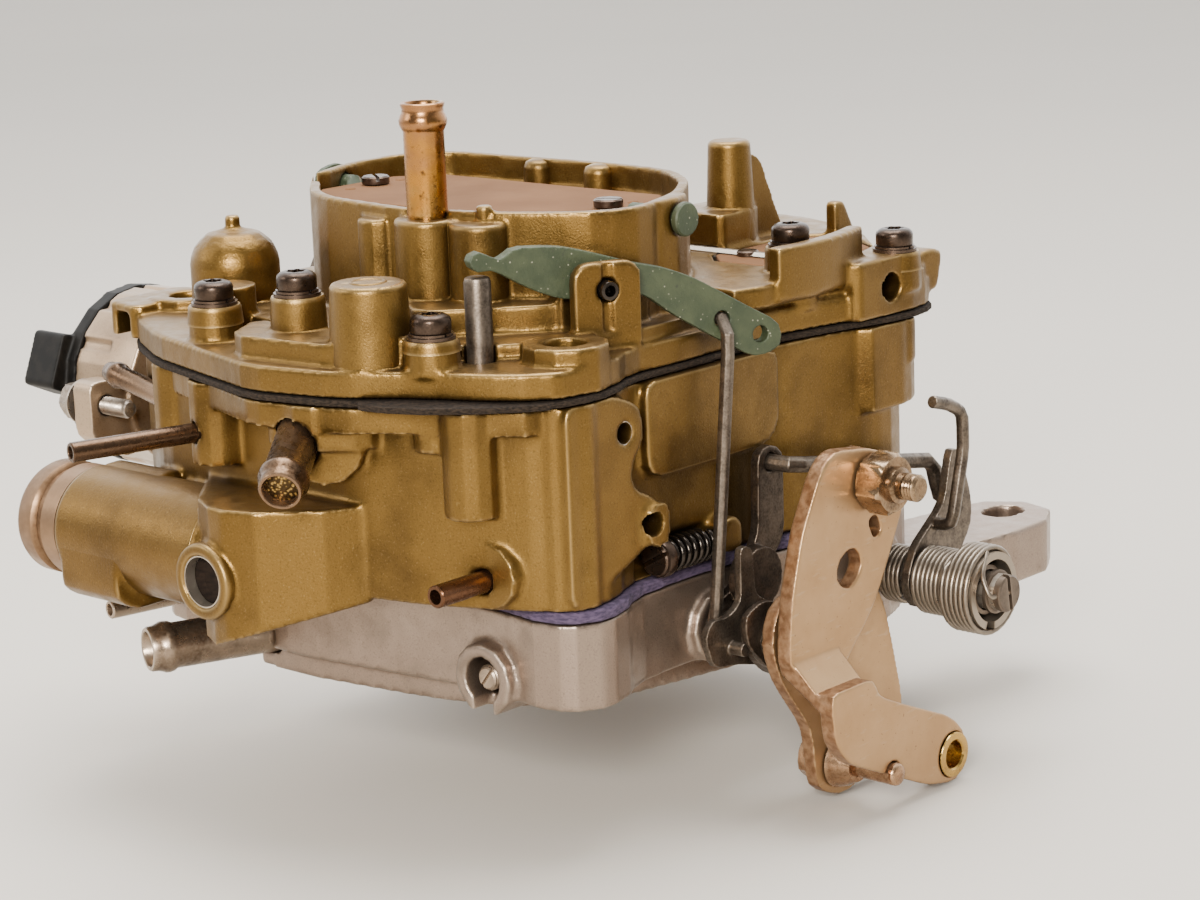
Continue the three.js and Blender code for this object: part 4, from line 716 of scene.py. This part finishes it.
def beaded(node, at, direction, length, outer, bore, material, bead=0.6):
    """A tube that ends in a rolled bead, with a dark disc inside as painted shade in the bore."""
    near = along(at, direction, 0.4)
    obj = lathe(node + "_tube", near, direction, [
        [bore, 0.2], [outer, 0.2], [outer, length - 5.6], [outer + bead * 0.7, length - 4.9],
        [outer + bead, length - 4.0], [outer + bead * 0.9, length - 3.2], [outer + bead * 0.3, length - 2.4],
        [outer - 0.05, length - 1.6], [outer - 0.1, length - 0.5], [outer - 0.35, length - 0.06],
        [bore + 0.25, length - 0.03], [bore, length - 0.35], [bore, 0.2],
    ], material, node)
    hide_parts(node)
    lathe(node + "_bore", near, direction, [[bore - 0.03, length - 14], [bore - 0.03, length - 13.6]],
          BORE_SHADE, node, 32)


def plain(node, at, direction, length, outer, bore, material):
    """A straight tube cut off square, with a dark disc inside as painted shade in the bore."""
    obj = lathe(node + "_tube", at, direction, [
        [bore, 0.2], [outer, 0.2], [outer, length - 0.25], [outer - 0.2, length - 0.02],
        [bore + 0.12, length - 0.02], [bore, length - 0.3], [bore, 0.2],
    ], material, node, 32)
    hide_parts(node)
    lathe(node + "_bore", at, direction, [[bore - 0.02, length - 7], [bore - 0.02, length - 6.7]],
          BORE_SHADE, node, 24)


beaded("front_vacuum_tube", (8, -95.5, 61.5), (0.52, -0.77, -0.36), 27, 4.35, 3.3, TUBE)
lathe("front_tube_gauze", along((8, -95.5, 61.5), (0.52, -0.77, -0.36), 25.6), (0.52, -0.77, -0.36),
      [[3.28, -0.5], [3.28, -0.1], [2.4, 0.15], [1.2, 0.3], [0.2, 0.34]], GAUZE, "front_vacuum_tube")
beaded("stub_tube", (-40, -90.5, 57), (-0.95, 0.2, 0.08), 25, 2.3, 1.3, TUBE, 0.5)
beaded("pcv_tube", (-22, -74, 8), (-0.375, -0.927, 0), 33, 4.75, 3.5, ZINC)
plain("thin_vacuum_tube", along((-17.3, -91, 54.4), (-0.28, -0.96, 0), 0.4), (-0.28, -0.96, 0),
      36, 2, 1.2, THIN)
plain("base_vacuum_tube", along((-50, -74, 11.3), (-0.2, -0.98, 0), 0.4), (-0.2, -0.98, 0), 24, 2, 1.2, ZINC)
plain("bleed_tube", (45, -76.4, 31), (0, -1, 0), 23.6, 2.2, 1.35, COPPER)

VENT_TOP = 29.7
vent = lathe("vent_tube_surface", (17, -69.5, 88.8), (0, 0, 1), [
    [3.1, 0], [4.0, 0], [4.0, VENT_TOP - 5.6], [4.25, VENT_TOP - 5.1], [4.7, VENT_TOP - 4.2],
    [4.72, VENT_TOP - 3.3],
    [4.45, VENT_TOP - 2.5], [4.1, VENT_TOP - 1.9], [4.05, VENT_TOP - 1.2], [4.3, VENT_TOP - 0.6],
    [4.35, VENT_TOP - 0.2], [4.1, VENT_TOP], [3.5, VENT_TOP - 0.05], [3.2, VENT_TOP - 0.5],
    [3.1, VENT_TOP - 3], [3.1, 0],
], VENT, "vent_tube", 64)
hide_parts("vent_tube")
# Painted shade: a dark disc deep inside the vent tube.
lathe("vent_tube_bore", (17, -69.5, 88.8), (0, 0, 1), [[3.05, 3.0], [3.05, 3.4]], BORE_SHADE, "vent_tube", 32)

inlet = lathe("fuel_inlet_surface", (-66, -100, 31), (1, 0, 0), [
    [4.2, 0.3], [4.6, 0], [10.6, 0], [11.5, 0.35], [11.9, 1.2], [11.9, 4.8], [11.4, 5.4], [10.9, 5.7],
    [10.9, 7.3],
    [11.4, 7.6], [11.9, 8.2], [11.9, 12.7], [9.2, 12.7], [9.2, 36], [4.2, 36], [4.2, 0.3],
], INLET, "fuel_inlet_nut", 64)
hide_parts("fuel_inlet_nut")
plug = lathe("port_plug_surface", (-4.9, -106.3, 29.2), (0, -1, 0), [
    [4.9, 0.0], [4.9, 5.2], [4.5, 5.6], [4.2, 4.6], [3.6, 4.1], [0.2, 4.0],
], PLUG, "inlet_port_plug")
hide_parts("inlet_port_plug")
ring("port_plug_lip", (-4.9, -112.2, 29.2), (0, -1, 0), 4.95, 5.2, -0.6, 1.9, BRIGHT, "float_bowl")

# ---------------------------------------------------------------- nuts, stud, bushing and lever bolt

STUD_Y, STUD_Z = -14, 40.6
stud = lathe("throttle_stud_surface", (0, STUD_Y, STUD_Z), (1, 0, 0), [
    [1.6, 73.7], *thread(2.85, 73.9, 81.7), [2.7, 81.8], [5.3, 81.82], [5.5, 82.0, "hex", 5.7],
    [5.5, 82.5, "hex"], [5.5, 87.1, "hex"], [5.5, 87.75, "hex", 5.55], [3.7, 87.8], [3.6, 88.9], [2.75, 89.3],
    [2.75, 90.6], *thread(2.75, 90.7, 92.9, 0.7, 0.25), [2.5, 93.1], [2.75, 93.2], [2.6, 93.4], [2.1, 93.84],
    [0.2, 93.86],
], NUT, "throttle_stud", turn=0.25)
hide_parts("throttle_stud")
back_nut = lathe("stud_nut_surface", (0, STUD_Y, STUD_Z), (1, 0, 0), [
    [3.2, 74.0], [5.1, 74.02], [5.5, 74.3, "hex", 5.6], [5.5, 74.8, "hex"], [5.5, 77.0, "hex"],
    [5.5, 77.5, "hex", 5.7], [5.2, 77.7], [3.2, 77.7], [3.2, 74.0],
], COPPER_NUT, "throttle_stud_nut", turn=0.1)
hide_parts("throttle_stud_nut")
bolt = lathe("lever_bolt_surface", (0, -20.5, -16.8), (1, 0, 0), [
    [0.2, 70.0], [3.6, 70.02], [4.5, 70.35, "hex", 4.6], [4.5, 70.8, "hex"], [4.5, 73.0, "hex"], [5.3, 73.02],
    [5.6, 73.2], [5.6, 73.8], [5.3, 74.0], [2.3, 74.02], [2.3, 77.5], [5.1, 77.52], [5.4, 77.8], [5.1, 78.6],
    [4.7, 80.0], [3.4, 82.5], [2.3, 82.52], [2.3, 91.4], *thread(2.3, 91.5, 92.3, 0.4, 0.2),
    [1.8, 92.5], [0.2, 92.5],
], COPPER_NUT, "lever_bolt", turn=0.35)
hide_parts("lever_bolt")
bushing = lathe("cable_bushing_surface", (0, -0.2, -18.4), (1, 0, 0), [
    [2.8, 86.1], [5.4, 86.1], [5.6, 86.3], [5.6, 87.0], [5.4, 87.2], [4.4, 87.2], [4.4, 90.6], [4.7, 91.2],
    [4.6, 91.42], [4.2, 91.5], [3.2, 91.46], [2.85, 91.1], [2.8, 90.6], [2.8, 86.1],
], BRASS, "cable_bushing")
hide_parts("cable_bushing")

# ---------------------------------------------------------------- springs

SHAFT_Y, SHAFT_Z = 18, 11.5
inner_spring = tube("spring_inner_surface", helix(62.9, 68.1, SHAFT_Y, SHAFT_Z, 5.6, 4.6), 0.55, SPRING,
                    "secondary_spring_inner", 10)
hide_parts("secondary_spring_inner")
slim = helix(72.6, 80.6, SHAFT_Y, SHAFT_Z, 6.7, 7.0, start=1.4)
bridge = [(81.0, SHAFT_Y + 7.0 * math.cos(1.4 + 0.5), SHAFT_Z + 7.0 * math.sin(1.4 + 0.5))]
wide = helix(81.6, 88.2, SHAFT_Y, SHAFT_Z, 8.9, 5.6, start=1.4 + 1.1)
outer_spring = tube("spring_outer_surface", slim + bridge + wide, 0.58, SPRING, "secondary_spring_outer", 10)
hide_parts("secondary_spring_outer")
ring("spring_cup", (0, SHAFT_Y, SHAFT_Z), (1, 0, 0), 6.6, 8.15, 81.4, 88.7, SPRING,
     "secondary_spring_outer", gap=3)
lathe("spring_drum", (0, SHAFT_Y, SHAFT_Z), (1, 0, 0), [
    [4.3, 72.3], [6.0, 72.3], [6.0, 81.0], [6.5, 81.2], [6.5, 82.4], [5.2, 82.8], [5.2, 87.0], [4.35, 87.2],
    [4.3, 72.3],
], LINK, "secondary_spring_outer")
lathe("secondary_shaft_collar", (0, SHAFT_Y, SHAFT_Z), (1, 0, 0), [
    [4.0, 88.6], [4.6, 88.8], [4.6, 89.6], [4.02, 89.8],
], LINK, "secondary_shaft")
half_moons("secondary_shaft_slot", (0, SHAFT_Y, SHAFT_Z), (1, 0, 0), 3.9, 90.9, 92.6, 1.0, LINK,
           "secondary_shaft", 0.15)
tube("spring_tail", bent([
    (88.0, SHAFT_Y - 1.5, SHAFT_Z + 8.6), (89.4, SHAFT_Y - 5.4, SHAFT_Z + 4.4),
    (91.6, SHAFT_Y - 5.8, SHAFT_Z + 0.2), (92.0, SHAFT_Y + 3.4, SHAFT_Z - 0.2),
], 1.6), 0.5, SPRING, "secondary_shaft", 10)

idle = tube("idle_spring_surface", helix(-49.4, -37.8, 58, 29.5, 2.95, 6.2, "Y"), 0.62, BLACK_SPRING,
            "idle_screw_spring", 12)
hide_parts("idle_screw_spring")
idle_screw = lathe("idle_screw_surface", (58, -53, 29.5), (0, 1, 0), [
    [2.9, 0.7], [3.7, 0.9], [3.9, 1.3], [3.9, 2.9], [3.6, 3.2], [1.6, 3.3],
    *thread(1.6, 3.6, 22.6, 0.8, 0.25), [1.5, 23], [0.8, 24], [0.1, 24],
], DARK, "idle_speed_screw")
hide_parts("idle_speed_screw")
half_moons("idle_screw_slot", (58, -52.2, 29.5), (0, -1, 0), 3.5, -0.2, 0.75, 0.9, DARK,
           "idle_speed_screw", 0.5)

# ---------------------------------------------------------------- pump lever pin, stem and small fittings

LEVER_TURN = math.radians(23.5)
PIN_NORMAL = (math.cos(LEVER_TURN), -math.sin(LEVER_TURN), 0)
PIVOT = (50, -57.5, 83.5)
pin = lathe("pump_pin_surface", PIVOT, PIN_NORMAL, [
    [0.4, -10], [1.9, -9.8], [1.9, 5.6], [1.75, 5.95], [1.15, 6.0], [0.95, 5.7], [0.95, 3.5], [0.05, 3.4],
], BLACK_SPRING, "pump_pivot_pin", 32)
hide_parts("pump_pivot_pin")
stem = lathe("pump_stem_surface", (40, -80, 47), (0, 0, 1), [
    [0.3, 0], [6.2, 0], [6.6, 1.5], [6.2, 4], [3.6, 5.4], [2.6, 6.2], [2.6, 40.1], [2.35, 40.8],
    [1.9, 41.0], [0.2, 41.0],
], ROD, "pump_plunger")
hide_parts("pump_plunger")

for side, node in ((1, "mixture_needle_right"), (-1, "mixture_needle_left")):
    needle = lathe(node + "_surface", (side * 38, -80.5, 8.8), (0, 1, 0), [
        [0.2, 0.55], [2.3, 0.6], [2.6, 0.9], [2.6, 4.8], [1.6, 5.4], *thread(1.6, 5.6, 14, 0.7, 0.2),
        [1.4, 14.2], [1.4, 20.5], [0.5, 23.9], [0.1, 23.9],
    ], ZINC, node)
    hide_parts(node)
    half_moons(node + "_slot", (side * 38, -80.0, 8.8), (0, -1, 0), 2.3, -0.2, 0.45, 0.7, ZINC, node, 0.9)

CHOKE_SCREW_Y, CHOKE_SCREW_Z = -82.5, 50.5
choke_screw = lathe("choke_screw_surface", (0, CHOKE_SCREW_Y, CHOKE_SCREW_Z), (1, 0, 0), [
    [0.2, -82.0], [3.2, -81.98], [3.7, -81.6, "hex", 3.85], [3.7, -81.2, "hex"], [3.7, -78.1, "hex"],
    [4.7, -78.08], [5.0, -77.9], [5.0, -77.4], [2.0, -77.35], *thread(2.0, -77.2, -63.0),
    [1.6, -62.4], [0.8, -62.0], [0.1, -62.0],
], BRIGHT, "choke_adjusting_screw")
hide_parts("choke_adjusting_screw")
for index, angle in enumerate((0.5, 2.6, 4.7)):
    at = (-92.0, -57 + 17.0 * math.cos(angle), 51 + 17.0 * math.sin(angle))
    lathe("cover_rivet_%d" % index, at, (-1, 0, 0), [
        [2.6, 0.0], [2.6, 0.4], [2.0, 1.3], [0.8, 1.6], [0.1, 1.62],
    ], ZINC, "choke_cover")

# Threads show in the two open screw holes of the corner bracket.
for index, (y, z, radius) in enumerate(((-63.6, 57.3, 2.2), (-57.5, 38.4, 2.4))):
    profile = [[radius + 0.25, 57.2], [radius + 0.25, 61.15]]
    inside = [[r + 0.28, x] for r, x in thread(radius - 0.05, 57.4, 61.1, 0.75, 0.3)]
    lathe("bracket_thread_%d" % index, (0, y, z), (1, 0, 0), profile + list(reversed(inside)) + [profile[0]],
          BRIGHT, "float_bowl")
    # Painted shade: a dark disc deep in each hole.
    lathe("bracket_hole_%d" % index, (0, y, z), (1, 0, 0), [[radius, 57.0], [radius, 57.3]],
          BORE_SHADE, "float_bowl", 32)

# ---------------------------------------------------------------- floor, light and camera

FLOOR_GAP = 1.0


def add_floor():
    low = min(corner[2] for corner in cad_box)
    size = 3.0
    mesh = bpy.data.meshes.new("floor")
    z = low - FLOOR_GAP * MM
    corners = [(-size, -size, z), (size, -size, z), (size, size, z), (-size, size, z)]
    mesh.from_pydata(corners, [], [(0, 1, 2, 3)])
    look = Look("pale_floor", 0.0, 0.7)
    colour = look.mix(look.range(look.noise(3, 2), 0.3, 0.7), (0.86, 0.86, 0.86), (0.9, 0.9, 0.9))
    mesh.materials.append(look.done(colour))
    floor = bpy.data.objects.new("floor", mesh)
    bpy.context.scene.collection.objects.link(floor)


def area_light(name, place, target, size, power, colour=(1.0, 1.0, 1.0)):
    data = bpy.data.lights.new(name, "AREA")
    data.shape = "RECTANGLE"
    data.size, data.size_y = size
    data.energy = power
    data.color = colour
    light = bpy.data.objects.new(name, data)
    light.location = place
    light.rotation_euler = (Vector(target) - Vector(place)).to_track_quat("-Z", "Y").to_euler()
    bpy.context.scene.collection.objects.link(light)


def add_world():
    world = bpy.data.worlds.new("studio")
    world.use_nodes = True
    tree = world.node_tree
    background = tree.nodes["Background"]
    background.inputs["Color"].default_value = (1.0, 1.0, 1.0, 1.0)
    coords = tree.nodes.new("ShaderNodeTexCoord")
    away = tree.nodes.new("ShaderNodeVectorMath")
    away.operation = "DOT_PRODUCT"
    away.inputs[1].default_value = (-0.66, 0.72, 0.25)
    strength = tree.nodes.new("ShaderNodeMapRange")
    strength.inputs["From Min"].default_value = -0.3
    strength.inputs["From Max"].default_value = 0.75
    strength.inputs["To Min"].default_value = 0.3
    strength.inputs["To Max"].default_value = 2.8
    tree.links.new(coords.outputs["Generated"], away.inputs[0])
    tree.links.new(away.outputs["Value"], strength.inputs["Value"])
    tree.links.new(strength.outputs["Result"], background.inputs["Strength"])
    bpy.context.scene.world = world


CAMERA_PLACE = (0.4369, -0.4820, 0.1867)
AZIMUTH = math.radians(42.412)
ELEVATION = math.radians(13.255)
ROLL = math.radians(-2.144)
SENSOR_WIDTH = 36.0
IMAGE_WIDTH = 1200
FOCAL_LENGTH = 3047  # in the same unit as the image width


def add_camera():
    data = bpy.data.cameras.new("photo_view")
    data.sensor_width = SENSOR_WIDTH
    data.lens = SENSOR_WIDTH * FOCAL_LENGTH / IMAGE_WIDTH
    camera = bpy.data.objects.new("photo_view", data)
    right = Vector((math.cos(AZIMUTH), math.sin(AZIMUTH), 0))
    forward = Vector((-math.sin(AZIMUTH) * math.cos(ELEVATION), math.cos(AZIMUTH) * math.cos(ELEVATION),
                      -math.sin(ELEVATION)))
    up = right.cross(forward)
    turned_right = right * math.cos(ROLL) + up * math.sin(ROLL)
    turned_up = up * math.cos(ROLL) - right * math.sin(ROLL)
    turn = Matrix((turned_right, turned_up, -forward)).transposed()
    camera.matrix_world = Matrix.Translation(CAMERA_PLACE) @ turn.to_4x4()
    bpy.context.scene.collection.objects.link(camera)
    bpy.context.scene.camera = camera


add_floor()
add_world()
centre = (0.0, -0.02, 0.05)
area_light("front", (0.62, -0.92, 0.48), centre, (0.35, 0.3), 24.0, (1.0, 0.96, 0.90))
area_light("left", (-0.65, -0.75, 0.55), centre, (0.4, 0.4), 3.0, (1.0, 0.97, 0.93))
area_light("top", (-0.1, 0.1, 0.95), centre, (0.7, 0.7), 17.0)
add_camera()
